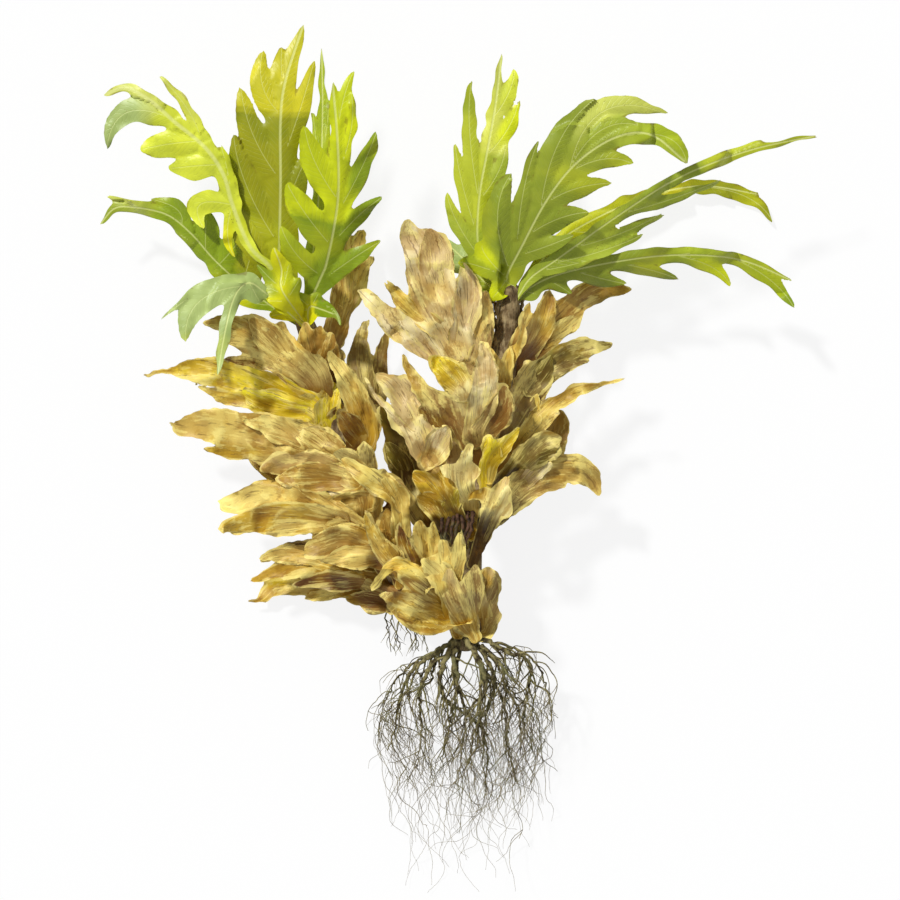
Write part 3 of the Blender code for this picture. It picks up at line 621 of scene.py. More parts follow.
FRONDS = (
    # The left rosette.
    Frond("foliage_back_01", 6, ("fresh", "fresh"), path=(
        (-146, 230), (-141, 290), (-139, 350), (-140, 412),
    ), lobes=(
        Lobe(((-141, 290), (-149, 352)), 3.5),
        Lobe(((-140, 300), (-132, 360)), 4),
    )),
    Frond("foliage_left_01", 7, ("green", "meadow"), change=0.75, path=(
        (-214, 172), (-246, 200), (-271, 228), (-296, 247), (-331, 254), (-348, 252), (-362, 236),
    ), lobes=(
        Lobe(((-300, 249), (-357, 264)), 5, "pale"),
        Lobe(((-278, 236), (-285, 252), (-311, 262)), 9),
        Lobe(((-258, 212), (-254, 248)), 14, "green"),
        Lobe(((-243, 196), (-218, 226)), 14, "deep"),
        Lobe(((-222, 176), (-206, 216)), 15, "olive"),
        Lobe(((-252, 207), (-284, 228)), 4, "meadow"),
        Lobe(((-236, 187), (-257, 203)), 4, "green"),
        Lobe(((-196, 150), (-222, 166), (-250, 198)), 7, "yellow"),
    )),
    Frond("foliage_left_04", 12, ("green", "lime"), change=0.42, rib=1.5, path=(
        (-140, 185), (-135, 198), (-127, 236), (-123, 271), (-124, 321), (-129, 380),
    ), lobes=(
        Lobe(((-122, 330), (-117, 366), (-107, 391)), 6),
        Lobe(((-119, 286), (-110, 334), (-111, 370)), 5),
        Lobe(((-121, 246), (-99, 295), (-85, 330)), 9, "green"),
        Lobe(((-130, 214), (-102, 246), (-79, 264)), 8, "green"),
        Lobe(((-142, 178), (-108, 203), (-79, 221)), 9, "green"),
        Lobe(((-124, 260), (-147, 300), (-157, 336)), 14),
        Lobe(((-128, 214), (-158, 250), (-175, 279)), 14),
        Lobe(((-140, 184), (-166, 208), (-181, 236)), 11, "fresh"),
    )),
    Frond("foliage_left_03", 8, ("lemon", "pale"), change=0.8, waist=0.5, rib=2.4, path=(
        (-190, 192), (-212, 215), (-229, 256), (-238, 286), (-256, 313), (-288, 340), (-312, 361),
        (-336, 373), (-358, 366),
    ), lobes=(
        Lobe(((-259, 317), (-274, 352), (-305, 388)), 5, "pale"),
        Lobe(((-290, 346), (-336, 348), (-355, 311)), 12, "glaucous"),
        Lobe(((-264, 318), (-322, 311)), 14),
        Lobe(((-246, 297), (-292, 292)), 13),
        Lobe(((-234, 256), (-262, 256), (-256, 230)), 11),
        Lobe(((-230, 256), (-234, 290), (-242, 319)), 5, "lime"),
        Lobe(((-226, 246), (-222, 240), (-217, 232)), 5, "lime"),
        Lobe(((-232, 254), (-234, 226), (-226, 203)), 5, "yellow"),
    )),
    Frond("foliage_left_02", 16, ("olive", "ochre"), change=0.69, rib=1.6, path=(
        (-182, 190), (-182, 221), (-181, 281), (-181, 341), (-176, 381), (-158, 437),
    ), lobes=(
        Lobe(((-180, 345), (-199, 375), (-199, 411)), 13),
        Lobe(((-177, 372), (-180, 414)), 9),
        Lobe(((-182, 280), (-208, 325), (-221, 374)), 14),
        Lobe(((-183, 218), (-215, 275), (-228, 328)), 15),
        Lobe(((-184, 186), (-222, 240), (-236, 298)), 13),
        Lobe(((-180, 296), (-162, 350), (-147, 402)), 10),
        Lobe(((-180, 240), (-155, 305)), 13),
    )),
    Frond("foliage_left_06", 9, ("yellow", "yellow"), change=0.3, path=(
        (-180, 172), (-180, 192), (-188, 214),
    ), lobes=(
        Lobe(((-182, 168), (-172, 198)), 8, "lime"),
        Lobe(((-186, 170), (-204, 196)), 6, "green"),
        Lobe(((-180, 162), (-198, 176)), 8, "deep"),
        Lobe(((-178, 160), (-162, 182)), 7, "fresh"),
        Lobe(((-176, 156), (-196, 160)), 6, "yellow"),
    )),
    Frond("foliage_left_07", 8, ("yellow", "deep"), path=(
        (-152, 154), (-141, 152), (-128, 147),
    ), lobes=(
        Lobe(((-160, 152), (-192, 145)), 9, "yellow"),
        Lobe(((-156, 156), (-168, 168)), 7, "deep"),
        Lobe(((-150, 155), (-143, 168)), 7, "deep"),
        Lobe(((-146, 156), (-129, 152), (-121, 131)), 3, "deep"),
    )),
    Frond("foliage_left_05", 7, ("yellow", "glaucous"), change=0.26, waist=0.4, path=(
        (-196, 168), (-214, 178), (-228, 162), (-238, 122), (-244, 84),
    ), lobes=(
        Lobe(((-218, 174), (-264, 158), (-276, 118)), 14),
        Lobe(((-214, 176), (-262, 168), (-300, 141)), 5),
        Lobe(((-212, 178), (-202, 158)), 10, "glaucous"),
    )),
    # The right rosette.
    Frond("foliage_back_02", 7, ("olive", "olive"), path=(
        (90, 212), (120, 235), (179, 262), (239, 275), (301, 266),
    ), lobes=(
        Lobe(((235, 274), (283, 265), (312, 238)), 7, "olive"),
        Lobe(((110, 228), (165, 228)), 9, "olive"),
        Lobe(((95, 214), (130, 207)), 8, "olive"),
        Lobe(((165, 256), (228, 276)), 7, "ochre"),
    )),
    Frond("foliage_back_03", 9, ("meadow", "glaucous"), path=(
        (20, 182), (0, 204), (-20, 222),
    ), lobes=(
        Lobe(((8, 194), (-16, 198)), 8),
        Lobe(((4, 200), (6, 228)), 8),
    )),
    Frond("foliage_right_01", 8, ("dusky", "meadow"), path=(
        (70, 174), (99, 187), (159, 200), (219, 206), (279, 201), (332, 180),
    ), lobes=(
        Lobe(((275, 201), (310, 180), (333, 152)), 7, "green"),
        Lobe(((215, 204), (250, 194), (270, 174)), 7, "lime"),
        Lobe(((150, 197), (217, 182)), 7),
        Lobe(((110, 190), (166, 177)), 8),
        Lobe(((85, 181), (110, 167)), 6),
        Lobe(((60, 174), (76, 167)), 8),
        Lobe(((180, 203), (250, 210)), 7, "fresh"),
    )),
    Frond("foliage_right_02", 6, ("meadow", "meadow"), path=(
        (70, 184), (99, 204), (159, 247), (219, 284), (289, 311), (363, 327),
    ), lobes=(
        Lobe(((160, 246), (210, 262), (262, 282)), 5),
        Lobe(((115, 214), (160, 228), (205, 250)), 6),
        Lobe(((92, 198), (140, 210), (184, 228)), 6),
        Lobe(((78, 188), (130, 202)), 6),
        Lobe(((228, 288), (300, 320)), 5),
    )),
    Frond("foliage_right_03", 8, ("meadow", "pale"), rib=1.3, path=(
        (24, 196), (16, 221), (18, 266), (26, 311), (34, 356), (40, 409),
    ), lobes=(
        Lobe(((17, 262), (8, 330), (10, 381)), 8, "meadow"),
        Lobe(((17, 226), (1, 276), (-7, 319)), 7),
        Lobe(((18, 196), (-3, 236), (-15, 269)), 8),
        Lobe(((32, 345), (47, 368), (53, 392)), 8, "lemon"),
        Lobe(((26, 304), (46, 332), (57, 360)), 8, "lime"),
        Lobe(((19, 262), (38, 292), (44, 321)), 7),
    )),
    Frond("foliage_right_04", 11, ("dusky", "meadow"), change=0.7, rib=1.3, path=(
        (46, 186), (60, 214), (86, 262), (116, 299), (155, 324), (190, 326), (225, 298),
    ), lobes=(
        Lobe(((78, 250), (97, 318), (133, 362)), 13),
        Lobe(((108, 288), (142, 350), (207, 346)), 13, "pale"),
        Lobe(((108, 288), (138, 330), (176, 336)), 12, "meadow"),
        Lobe(((150, 322), (202, 325), (225, 299)), 9, "fresh"),
        Lobe(((106, 286), (142, 302), (173, 296)), 10),
        Lobe(((80, 254), (113, 272), (150, 278)), 11),
        Lobe(((66, 226), (96, 242), (128, 249)), 11),
        Lobe(((58, 206), (83, 214), (113, 226)), 9),
        Lobe(((58, 205), (62, 270), (78, 323)), 7),
        Lobe(((50, 192), (36, 245), (50, 288)), 15),
        Lobe(((44, 182), (24, 206), (22, 218)), 11, "lime"),
        Lobe(((42, 182), (30, 162)), 10, "lime"),
        Lobe(((38, 184), (14, 196), (-2, 198)), 8, "fresh"),
    )),
    # The left arm's shield fronds.
    Frond("shield_back_01", 26, ("brown", "tan"), path=(
        (-170, 0), (-190, 20), (-205, 30),
    )),
    Frond("shield_back_02", 26, ("brown", "tan"), path=(
        (60, 0), (80, 25), (95, 45),
    )),
    Frond("shield_back_03", 9, ("brown", "gold"), tail=0.09, path=(
        (-50, -150), (-85, -133), (-116, -125), (-160, -124), (-186, -127), (-200, -138),
        (-213, -142),
    ), lobes=(
        Lobe(((-110, -126), (-156, -136)), 8, "gold"),
        Lobe(((-150, -124), (-197, -121)), 8, "bright"),
        Lobe(((-60, -145), (-116, -138)), 9, "brown"),
    )),
    Frond("shield_back_04", 12, ("tan", "cream"), path=(
        (-120, 150), (-111, 185), (-98, 232),
    ), lobes=(
        Lobe(((-116, 165), (-118, 205), (-112, 238)), 9),
        Lobe(((-114, 150), (-88, 205)), 9),
    )),
    Frond("shield_back_05", 10, ("brown", "grey"), path=(
        (-92, 40), (-84, 80), (-75, 133),
    ), lobes=(
        Lobe(((-92, 50), (-102, 100), (-95, 140)), 11, "grey"),
    )),
    Frond("shield_back_06", 5, ("rust", "rust"), path=(
        (75, 110), (96, 126), (118, 145),
    ), lobes=(
        Lobe(((72, 105), (104, 137)), 8, "brown"),
    )),
    Frond("shield_back_07", 14, ("rust", "moss"), path=(
        (-46, -35), (-55, -5), (-66, 25), (-80, 57),
    ), lobes=(
        Lobe(((-50, -20), (-76, 20)), 10, "moss"),
        Lobe(((-30, -40), (-16, -6), (-7, 34)), 14, "sand"),
    )),
    Frond("shield_left_01", 12, ("brown", "cream"), path=(
        (-140, 80), (-150, 105), (-158, 140),
    ), lobes=(
        Lobe(((-136, 76), (-128, 128)), 11, "tan"),
        Lobe(((-138, 84), (-143, 137)), 12, "tan"),
        Lobe(((-134, 74), (-121, 112)), 9, "sand"),
    )),
    Frond("shield_left_02", 17, ("brown", "tan"), path=(
        (-150, 80), (-175, 102), (-205, 118), (-236, 122),
    ), lobes=(
        Lobe(((-190, 112), (-225, 134), (-258, 138)), 10, "tan"),
        Lobe(((-165, 88), (-205, 98), (-240, 103)), 7, "rust"),
        Lobe(((-172, 100), (-212, 143)), 13, "tan"),
        Lobe(((-154, 84), (-176, 112), (-179, 140)), 14, "cream"),
    )),
    Frond("shield_left_03", 11, ("gold", "cream"), rise=6, path=(
        (-94, 22), (-101, 50), (-114, 80), (-134, 110),
    ), lobes=(
        Lobe(((-92, 14), (-122, 50)), 11, "rust"),
        Lobe(((-92, 14), (-112, 18)), 11, "brown"),
    )),
    Frond("shield_left_04", 14, ("bright", "gold"), less_foot_shade=26, tail=0.12, path=(
        (-146, 50), (-176, 64), (-206, 76), (-236, 86), (-266, 91), (-290, 90), (-321, 88),
    ), lobes=(
        Lobe(((-150, 46), (-190, 56), (-221, 70)), 14, "bright"),
        Lobe(((-190, 62), (-228, 62), (-268, 77)), 6, "gold"),
        Lobe(((-128, 38), (-128, 80)), 11, "bright"),
        Lobe(((-136, 40), (-156, 56), (-166, 66)), 6, "rust"),
        Lobe(((-124, 36), (-114, 56)), 7, "rust"),
        Lobe(((-124, 36), (-150, 44)), 9, "rust"),
    )),
    Frond("shield_left_05", 17, ("tan", "cream"), tail=0.08, path=(
        (-125, 2), (-156, 16), (-196, 26), (-232, 33), (-262, 36), (-281, 34), (-293, 41),
    ), lobes=(
        Lobe(((-150, 12), (-182, 32), (-216, 42)), 11, "cream"),
        Lobe(((-165, 14), (-215, 10), (-258, 12)), 8, "gold"),
        Lobe(((-132, 4), (-146, 20), (-164, 30)), 12, "tan"),
        Lobe(((-130, 4), (-168, 0), (-215, 2)), 14, "tan"),
    )),
    Frond("shield_left_06", 10, ("brown", "grey"), path=(
        (-60, -40), (-85, -20), (-108, 0), (-128, 11),
    ), lobes=(
        Lobe(((-90, -16), (-98, 18)), 8, "grey"),
    )),
    Frond("shield_left_07", 14, ("tan", "sand"), path=(
        (-95, -30), (-118, -16), (-148, -6), (-175, -3), (-201, -8),
    ), lobes=(
        Lobe(((-110, -26), (-150, -16), (-184, -18)), 13, "tan"),
        Lobe(((-98, -34), (-135, -30), (-161, -37)), 14, "linen"),
        Lobe(((-92, -40), (-120, -46), (-140, -54)), 11, "tan"),
    )),
    Frond("shield_left_08", 14, ("tan", "cream"), tail=0.06, path=(
        (-100, -72), (-130, -58), (-160, -44), (-190, -34), (-212, -35), (-232, -44), (-243, -41),
    ), lobes=(
        Lobe(((-125, -66), (-190, -58), (-243, -69)), 13, "gold"),
        Lobe(((-112, -66), (-136, -46), (-165, -38)), 11, "cream"),
        Lobe(((-104, -72), (-128, -76), (-148, -80)), 12, "gold"),
    )),
    Frond("shield_left_09", 9, ("gold", "butter"), less_foot_shade=12, rise=4, path=(
        (-62, -42), (-85, -22), (-105, -8), (-120, 2),
    ), lobes=(
        Lobe(((-60, -44), (-80, -12)), 8, "butter"),
    )),
    Frond("shield_left_10", 10, ("brown", "gold"), path=(
        (-75, -125), (-105, -112), (-140, -104), (-175, -108), (-213, -121),
    ), lobes=(
        Lobe(((-120, -107), (-165, -93), (-201, -99)), 9, "cream"),
        Lobe(((-100, -110), (-140, -90), (-177, -87)), 8, "rust"),
        Lobe(((-85, -118), (-130, -120), (-170, -124)), 9, "rust"),
    )),
    Frond("shield_left_11", 14, ("brown", "tan"), path=(
        (-60, -105), (-85, -90), (-115, -78), (-140, -84), (-158, -91),
    ), lobes=(
        Lobe(((-75, -98), (-108, -96), (-140, -100)), 10, "cream"),
        Lobe(((-66, -100), (-82, -80), (-104, -66)), 10, "gold"),
        Lobe(((-64, -100), (-74, -46)), 12, "tan"),
    )),
    Frond("shield_left_12", 12, ("gold", "butter"), less_foot_shade=20, path=(
        (-37, -120), (-37, -95), (-43, -58),
    ), lobes=(
        Lobe(((-40, -120), (-54, -92), (-62, -62)), 8, "rust"),
        Lobe(((-36, -118), (-28, -90), (-28, -58)), 8, "butter"),
        Lobe(((-44, -126), (-74, -94), (-98, -50)), 9, "tan"),
    )),
    # The right arm's shield fronds.
    Frond("shield_right_01", 13, ("brown", "tan"), path=(
        (50, 95), (70, 115), (95, 140), (120, 162), (145, 173), (171, 168),
    ), lobes=(
        Lobe(((66, 108), (82, 140), (88, 171)), 11, "tan"),
        Lobe(((54, 98), (69, 159)), 7, "cream"),
        Lobe(((70, 112), (98, 128), (118, 146)), 8, "tan"),
    )),
    Frond("shield_right_02", 22, ("linen", "linen"), path=(
        (4, 98), (-8, 122), (-22, 155), (-32, 185), (-40, 212), (-50, 232),
    ), lobes=(
        Lobe(((-28, 170), (-26, 205), (-34, 232)), 15, "sand"),
        Lobe(((-30, 185), (-48, 215), (-54, 241)), 11, "linen"),
        Lobe(((-12, 122), (-46, 148), (-77, 180)), 9, "gold"),
        Lobe(((2, 100), (-54, 130), (-104, 172)), 14, "linen"),
        Lobe(((-6, 110), (6, 160), (2, 198)), 12, "linen"),
        Lobe(((6, 98), (18, 135), (24, 172)), 10, "cream"),
        Lobe(((8, 92), (30, 138)), 8, "sand"),
    )),
    Frond("shield_right_03", 5, ("tan", "cream"), path=(
        (44, 84), (54, 112), (66, 152),
    ), lobes=(
        Lobe(((38, 76), (48, 114)), 5, "butter"),
        Lobe(((34, 72), (27, 118)), 6, "cream"),
    )),
    Frond("shield_right_04", 12, ("grey", "moss"), path=(
        (58, 54), (78, 82), (101, 104), (125, 113), (151, 116),
    ), lobes=(
        Lobe(((72, 72), (92, 108)), 10, "moss"),
        Lobe(((56, 52), (66, 98)), 10, "brown"),
        Lobe(((76, 78), (102, 94), (128, 100)), 6, "grey"),
    )),
    Frond("shield_right_05", 7, ("gold", "gold"), tail=0.14, path=(
        (66, 28), (85, 50), (108, 66), (132, 75), (165, 82),
    ), lobes=(
        Lobe(((70, 34), (76, 68)), 5, "gold"),
        Lobe(((60, 24), (80, 38), (100, 46)), 6, "brown"),
    )),
    Frond("shield_right_06", 13, ("brown", "ivory"), change=0.5, path=(
        (12, 28), (6, 60), (-2, 100),
    ), lobes=(
        Lobe(((-12, 66), (-29, 104)), 12, "bright"),
        Lobe(((8, 26), (-36, 66), (-60, 110)), 7, "tan"),
        Lobe(((14, 28), (24, 78), (19, 120)), 12, "linen"),
        Lobe(((6, 22), (-22, 42), (-42, 52)), 10, "rust"),
        Lobe(((16, 24), (38, 50), (42, 76)), 12, "brown"),
        Lobe(((10, 24), (-16, 50), (-34, 72)), 12, "brown"),
    )),
    Frond("shield_right_07", 12, ("sand", "linen"), path=(
        (-32, 0), (-45, 30), (-58, 58), (-72, 78), (-85, 85),
    ), lobes=(
        Lobe(((-44, 24), (-76, 52), (-97, 86)), 3, "linen"),
        Lobe(((-36, 10), (-46, 55), (-60, 84)), 9, "linen"),
        Lobe(((-30, 4), (-14, 34)), 11, "linen"),
        Lobe(((-30, 4), (-30, 46)), 9, "sand"),
    )),
    Frond("shield_right_08", 11, ("moss", "grey"), path=(
        (54, -10), (70, 8), (85, 20), (100, 25),
    ), lobes=(
        Lobe(((62, 0), (98, 12)), 8, "moss"),
        Lobe(((56, -8), (92, -4)), 9, "grey"),
    )),
    Frond("shield_right_09", 8, ("gold", "bright"), change=0.1, less_foot_shade=50, rise=4, path=(
        (28, -2), (42, 14), (60, 34),
    ), lobes=(
        Lobe(((34, 2), (28, 24)), 8, "bright"),
    )),
    Frond("shield_right_10", 13, ("dark", "tan"), change=0.35, path=(
        (44, -44), (60, -26), (80, -12), (100, -7), (120, -9), (132, -19), (138, -34),
    ), lobes=(
        Lobe(((58, -28), (90, 0)), 9, "linen"),
        Lobe(((62, -28), (104, -24)), 9, "sand"),
    )),
    Frond("shield_right_11", 8, ("gold", "ivory"), change=0.35, less_foot_shade=20, rise=4,
          layered=False, path=(
        (8, -40), (3, -22), (4, -2), (9, 15),
    ), lobes=(
        Lobe(((4, -14), (-21, -4)), 9, "ivory"),
        Lobe(((6, -10), (13, -12)), 9, "ivory"),
    )),
    Frond("shield_right_12", 13, ("dark", "gold"), change=0.4, less_foot_shade=20, path=(
        (-10, -62), (-22, -38), (-34, -22), (-48, -12),
    ), lobes=(
        Lobe(((-16, -48), (-44, -36)), 10, "gold"),
        Lobe(((-14, -46), (-22, -6)), 12, "gold"),
        Lobe(((-8, -50), (-4, -28)), 8, "bright"),
    )),
    Frond("shield_right_13", 8, ("dark", "ivory"), change=0.45, layered=False, path=(
        (28, -58), (36, -42), (42, -28), (47, -14),
    ), lobes=(
        Lobe(((36, -46), (18, -32), (0, -42)), 6, "gold"),
        Lobe(((38, -40), (27, -42)), 9, "ivory"),
        Lobe(((38, -42), (48, -52)), 8, "ivory"),
    )),
    # The crown's shield fronds.
    Frond("shield_crown_01", 11, ("tan", "sand"), less_foot_shade=30, path=(
        (22, -140), (26, -124), (27, -108),
    ), lobes=(
        Lobe(((20, -150), (34, -116)), 10, "khaki"),
        Lobe(((16, -160), (34, -147)), 11, "sand"),
        Lobe(((14, -166), (8, -114)), 11, "sand"),
        Lobe(((10, -168), (30, -166)), 9, "khaki"),
    )),
    Frond("shield_crown_02", 8, ("gold", "butter"), less_foot_shade=34, layered=False, path=(
        (-28, -128), (-50, -110), (-70, -106), (-93, -131),
    ), lobes=(
        Lobe(((-16, -140), (-38, -124), (-62, -116)), 11, "rust"),
        Lobe(((-14, -150), (-50, -138), (-84, -134)), 9, "brown"),
        Lobe(((-10, -152), (-30, -142), (-54, -146)), 6, "butter"),
        Lobe(((-6, -164), (-36, -162), (-62, -150)), 10, "gold"),
        Lobe(((-8, -164), (-44, -158), (-76, -142)), 7, "tan"),
        Lobe(((-6, -158), (-24, -136)), 7, "butter"),
    )),
    Frond("shield_crown_03", 11, ("gold", "butter"), less_foot_shade=30, path=(
        (-10, -138), (-16, -110), (-20, -77),
    ), lobes=(
        Lobe(((-10, -125), (-4, -98), (-2, -70)), 8, "butter"),
        Lobe(((-14, -112), (-30, -104), (-47, -114)), 8, "butter"),
        Lobe(((-12, -122), (-38, -98)), 9, "cream"),
    )),
    Frond("shield_crown_04", 10, ("tan", "sand"), less_foot_shade=40, layered=False, path=(
        (2, -154), (-8, -130), (-15, -106),
    ), lobes=(
        Lobe(((0, -150), (-24, -124), (-40, -141)), 3, "butter"),
        Lobe(((4, -160), (10, -130), (14, -104)), 10, "khaki"),
        Lobe(((0, -174), (-2, -142)), 5, "bright"),
        Lobe(((4, -166), (-14, -132)), 10, "khaki"),
    )),
)


# ------------------------------------------------------------------ materials


def add_node(tree, kind, inputs, output=0, **settings):
    """Add a node, with each input linked or set, and give back one of its results."""
    node = tree.nodes.new("ShaderNode" + kind)
    for key, value in settings.items():
        setattr(node, key, value)
    for socket, value in inputs.items():
        if isinstance(value, bpy.types.NodeSocket):
            tree.links.new(value, node.inputs[socket])
        else:
            node.inputs[socket].default_value = value
    return node.outputs[output]


class Shader:
    """The nodes of one material. Each method adds a node and gives back its result."""

    def __init__(self, name, roughness, specular):
        self.material = bpy.data.materials.new(name)
        self.material.use_nodes = True
        self.tree = self.material.node_tree
        self.surface = self.tree.nodes["Principled BSDF"].inputs
        self.surface["Roughness"].default_value = roughness
        self.surface["Specular IOR Level"].default_value = specular

    def add(self, kind, inputs, output=0, **settings):
        return add_node(self.tree, kind, inputs, output, **settings)

    def math(self, operation, *values):
        return self.add("Math", dict(enumerate(values)), operation=operation)

    def ramp(self, value, start, end, low=0.0, high=1.0):
        """low where the value is at the start or before, high at the end or past it."""
        inputs = {"Value": value, "From Min": start, "From Max": end, "To Min": low, "To Max": high}
        return self.add("MapRange", inputs, interpolation_type="SMOOTHSTEP")

    def mix(self, share, a, b, blend="MIX"):
        inputs = {"Factor": share, 6: a, 7: b}
        return self.add("Mix", inputs, output=2, data_type="RGBA", blend_type=blend)

    def over(self, colour, other, value, start, end, share=1.0):
        """The colour, with up to that share of the other as the value goes from start to end."""
        return self.mix(self.ramp(value, start, end, 0.0, share), colour, other)

    def attribute(self, name, output="Vector"):
        return self.add("Attribute", {}, output, attribute_name=name)

    def split(self, name):
        """The three numbers of an attribute."""
        parts = self.tree.nodes.new("ShaderNodeSeparateXYZ")
        self.tree.links.new(self.attribute(name), parts.inputs[0])
        return list(parts.outputs)

    def place(self):
        return self.add("TexCoord", {}, output="Object")

    def noise(self, place, scale, detail=3.0, roughness=0.55):
        inputs = {"Vector": place, "Scale": scale, "Detail": detail, "Roughness": roughness}
        return self.add("TexNoise", inputs)

    def cells(self, place, scale, feature="DISTANCE_TO_EDGE"):
        return self.add("TexVoronoi", {"Vector": place, "Scale": scale}, feature=feature)

    def finish(self, colour, height, distance):
        """Paint the surface and raise it by up to the distance, in metres."""
        inputs = {"Strength": 1.0, "Distance": distance, "Height": height}
        self.tree.links.new(self.add("Bump", inputs), self.surface["Normal"])
        self.tree.links.new(colour, self.surface["Base Color"])
        return self.material


def leaf_material():
    """The green fronds' leathery surface, with pale ribs and side veins."""
    shader = Shader("leaf", roughness=0.4, specular=0.35)
    off, along, gap = shader.split("vein")
    mid, edge, tint = shader.split("place")
    seam = shader.attribute("seam", "Fac")
    place = shader.place()
    away = shader.math("ABSOLUTE", off)

    # The green is uneven: broad shades, fine mottling, and each lobe a little of its own.
    colour = shader.attribute("tone")
    for other, value, start, end, share in (
        (DEEP_GREEN, shader.noise(place, 26), 0.62, 0.42, 0.26),
        (YELLOW_GREEN, shader.noise(place, 12, 2), 0.5, 0.64, 0.4),
        (DEEP_GREEN, shader.noise(place, 160, 3), 0.3, 0.7, 0.08),
        (DEEP_GREEN, tint, -1.0, 1.0, 0.12),
    ):
        colour = shader.over(colour, other, value, start, end, share)

    # Side veins leave the nearest vein in chevrons.
    slanted = shader.math("MULTIPLY_ADD", away, -1.1, along)
    rib = shader.ramp(shader.math("PINGPONG", slanted, 3.0), 0.8, 0.0)
    side = shader.math("MULTIPLY", rib, shader.ramp(shader.math("MINIMUM", edge, seam), 0.5, 3.0))
    colour = shader.mix(shader.math("MULTIPLY", side, 0.04), colour, PALE_VEIN)
    vein = shader.math("MULTIPLY", shader.ramp(away, 0.7, 0.2, 0.0, 0.3), shader.ramp(gap, 2.4, 1.6))
    midrib = shader.ramp(shader.math("ABSOLUTE", mid), 1.2, 0.3, 0.0, 0.55)
    line = shader.math("MAXIMUM", vein, midrib)
    colour = shader.mix(line, colour, PALE_VEIN)

    # Brown specks and scorched margins.
    rare = shader.ramp(shader.noise(place, 60, 2), 0.6, 0.68)
    speck = shader.ramp(shader.cells(place, 300, "F1"), 0.22, 0.1, 0.0, 0.65)
    colour = shader.mix(shader.math("MULTIPLY", speck, rare), colour, SCORCH)
    scorched = shader.ramp(shader.noise(place, 90), 0.5, 0.62)
    rim = shader.math("MULTIPLY", shader.ramp(edge, 1.2, 0.1, 0.0, 0.5), scorched)
    colour = shader.mix(rim, colour, SCORCH)
    height = shader.math("MULTIPLY_ADD", side, -0.3, shader.math("MULTIPLY", line, -1.0))
    return shader.finish(colour, height, 0.0004)


def papery_material():
    """The dry fronds' surface: papery, fibrous, patched with straw, gold and brown; painted shade and
    highlight follow its folds, foot and margins.
    """
    shader = Shader("papery", roughness=0.5, specular=0.35)
    tone = shader.attribute("tone")
    across, down, fold = shader.split("flow")
    from_seat, edge, tint = shader.split("place")
    place = shader.place()
    # Lit and shaded copies of the tone: paler and darker patches, and painted highlight and shade.
    shaded = shader.mix(1.0, tone, SHADED, "MULTIPLY")
    lit = shader.mix(0.8, tone, STRAW)

    def lengthwise(wide, long, detail):
        """Noise drawn out along the fibres."""
        stretched = {0: shader.math("DIVIDE", across, wide), 1: shader.math("DIVIDE", down, long)}
        return shader.noise(shader.add("CombineXYZ", stretched), 1.0, detail, 0.65)

    fibres = lengthwise(1.2, 30.0, 3)
    streaks = lengthwise(4.0, 50.0, 4)
    clouds = lengthwise(12.0, 50.0, 4)
    broad = shader.noise(place, 20, 2)
    burnt = shader.ramp(shader.noise(place, 48), 0.53, 0.6, 0.0, 0.6)
    rim = shader.ramp(edge, 1.5, 0.3)

    colour = tone
    for other, value, start, end, share in (
        # Lobes, patches and fibres differ in how pale they are; folds get painted shade and
        # highlight.
        (shaded, tint, 0.0, 1.0, 0.4),
        (lit, tint, -0.2, -1.0, 0.5),
        (GOLDEN, broad, 0.53, 0.62, 0.6),
        (GREYED, broad, 0.47, 0.37, 0.25),
        (shaded, clouds, 0.46, 0.38, 0.6),
        (lit, clouds, 0.53, 0.59, 0.8),
        # Painted shade in the valleys of the folds, and a painted highlight on their ridges.
        (shaded, fold, 0.2, -1.2, 0.5),
        (lit, fold, 1.0, 1.9, 0.6),
        (shaded, streaks, 0.45, 0.38, 0.5),
        (lit, streaks, 0.55, 0.6, 0.6),
        (DARK_BROWN, fibres, 0.43, 0.35, 0.6),
        (lit, fibres, 0.58, 0.66, 0.5),
        # Painted shade: the foot, where the fronds crowd over one another, is darker.
        (shaded, from_seat, 60.0, 10.0, 0.75),
        (DARK_BROWN, from_seat, 32.0, 6.0, 0.6),
        # A net of fine veins, and one along the middle of each lobe.
        (DARK_BROWN, shader.cells(place, 330), 0.14, 0.0, 0.06),
        (DARK_BROWN, shader.attribute("gap", "Fac"), 0.8, 0.2, 0.45),
        # The margin is paler: partly its own dried colour, partly a painted highlight where it
        # catches the light.
        (STRAW, edge, 1.5, 0.3, 0.6),
    ):
        colour = shader.over(colour, other, value, start, end, share)

    # Margins are burnt brown in places, and stains follow no vein.
    colour = shader.mix(shader.math("MULTIPLY", rim, burnt), colour, DARK_BROWN)
    colour = shader.over(colour, WARM_BROWN, shader.noise(place, 40, 5, 0.7), 0.6, 0.66, 0.45)
    height = shader.math("MULTIPLY_ADD", fibres, 0.7, shader.math("MULTIPLY", streaks, 2.0))
    return shader.finish(colour, height, 0.0004)


def bark_material():
    """Dark fibrous bark: fibres run lengthwise over lumps."""
    shader = Shader("bark", roughness=0.8, specular=0.2)
    place = shader.place()
    stretched = shader.add("Mapping", {"Vector": place, "Scale": (1.0, 0.28, 1.0)})
    fibres = shader.noise(stretched, 260, 5, 0.65)
    lumps = shader.noise(place, 60, 3)
    colour = shader.mix(shader.ramp(lumps, 0.4, 0.62), rgba(104, 84, 56), rgba(166, 144, 104))
    colour = shader.over(colour, rgba(178, 160, 120), fibres, 0.52, 0.68, 0.7)
    colour = shader.over(colour, rgba(60, 46, 28), fibres, 0.46, 0.34, 0.8)
    return shader.finish(colour, shader.math("MULTIPLY_ADD", lumps, 2.0, fibres), 0.003)


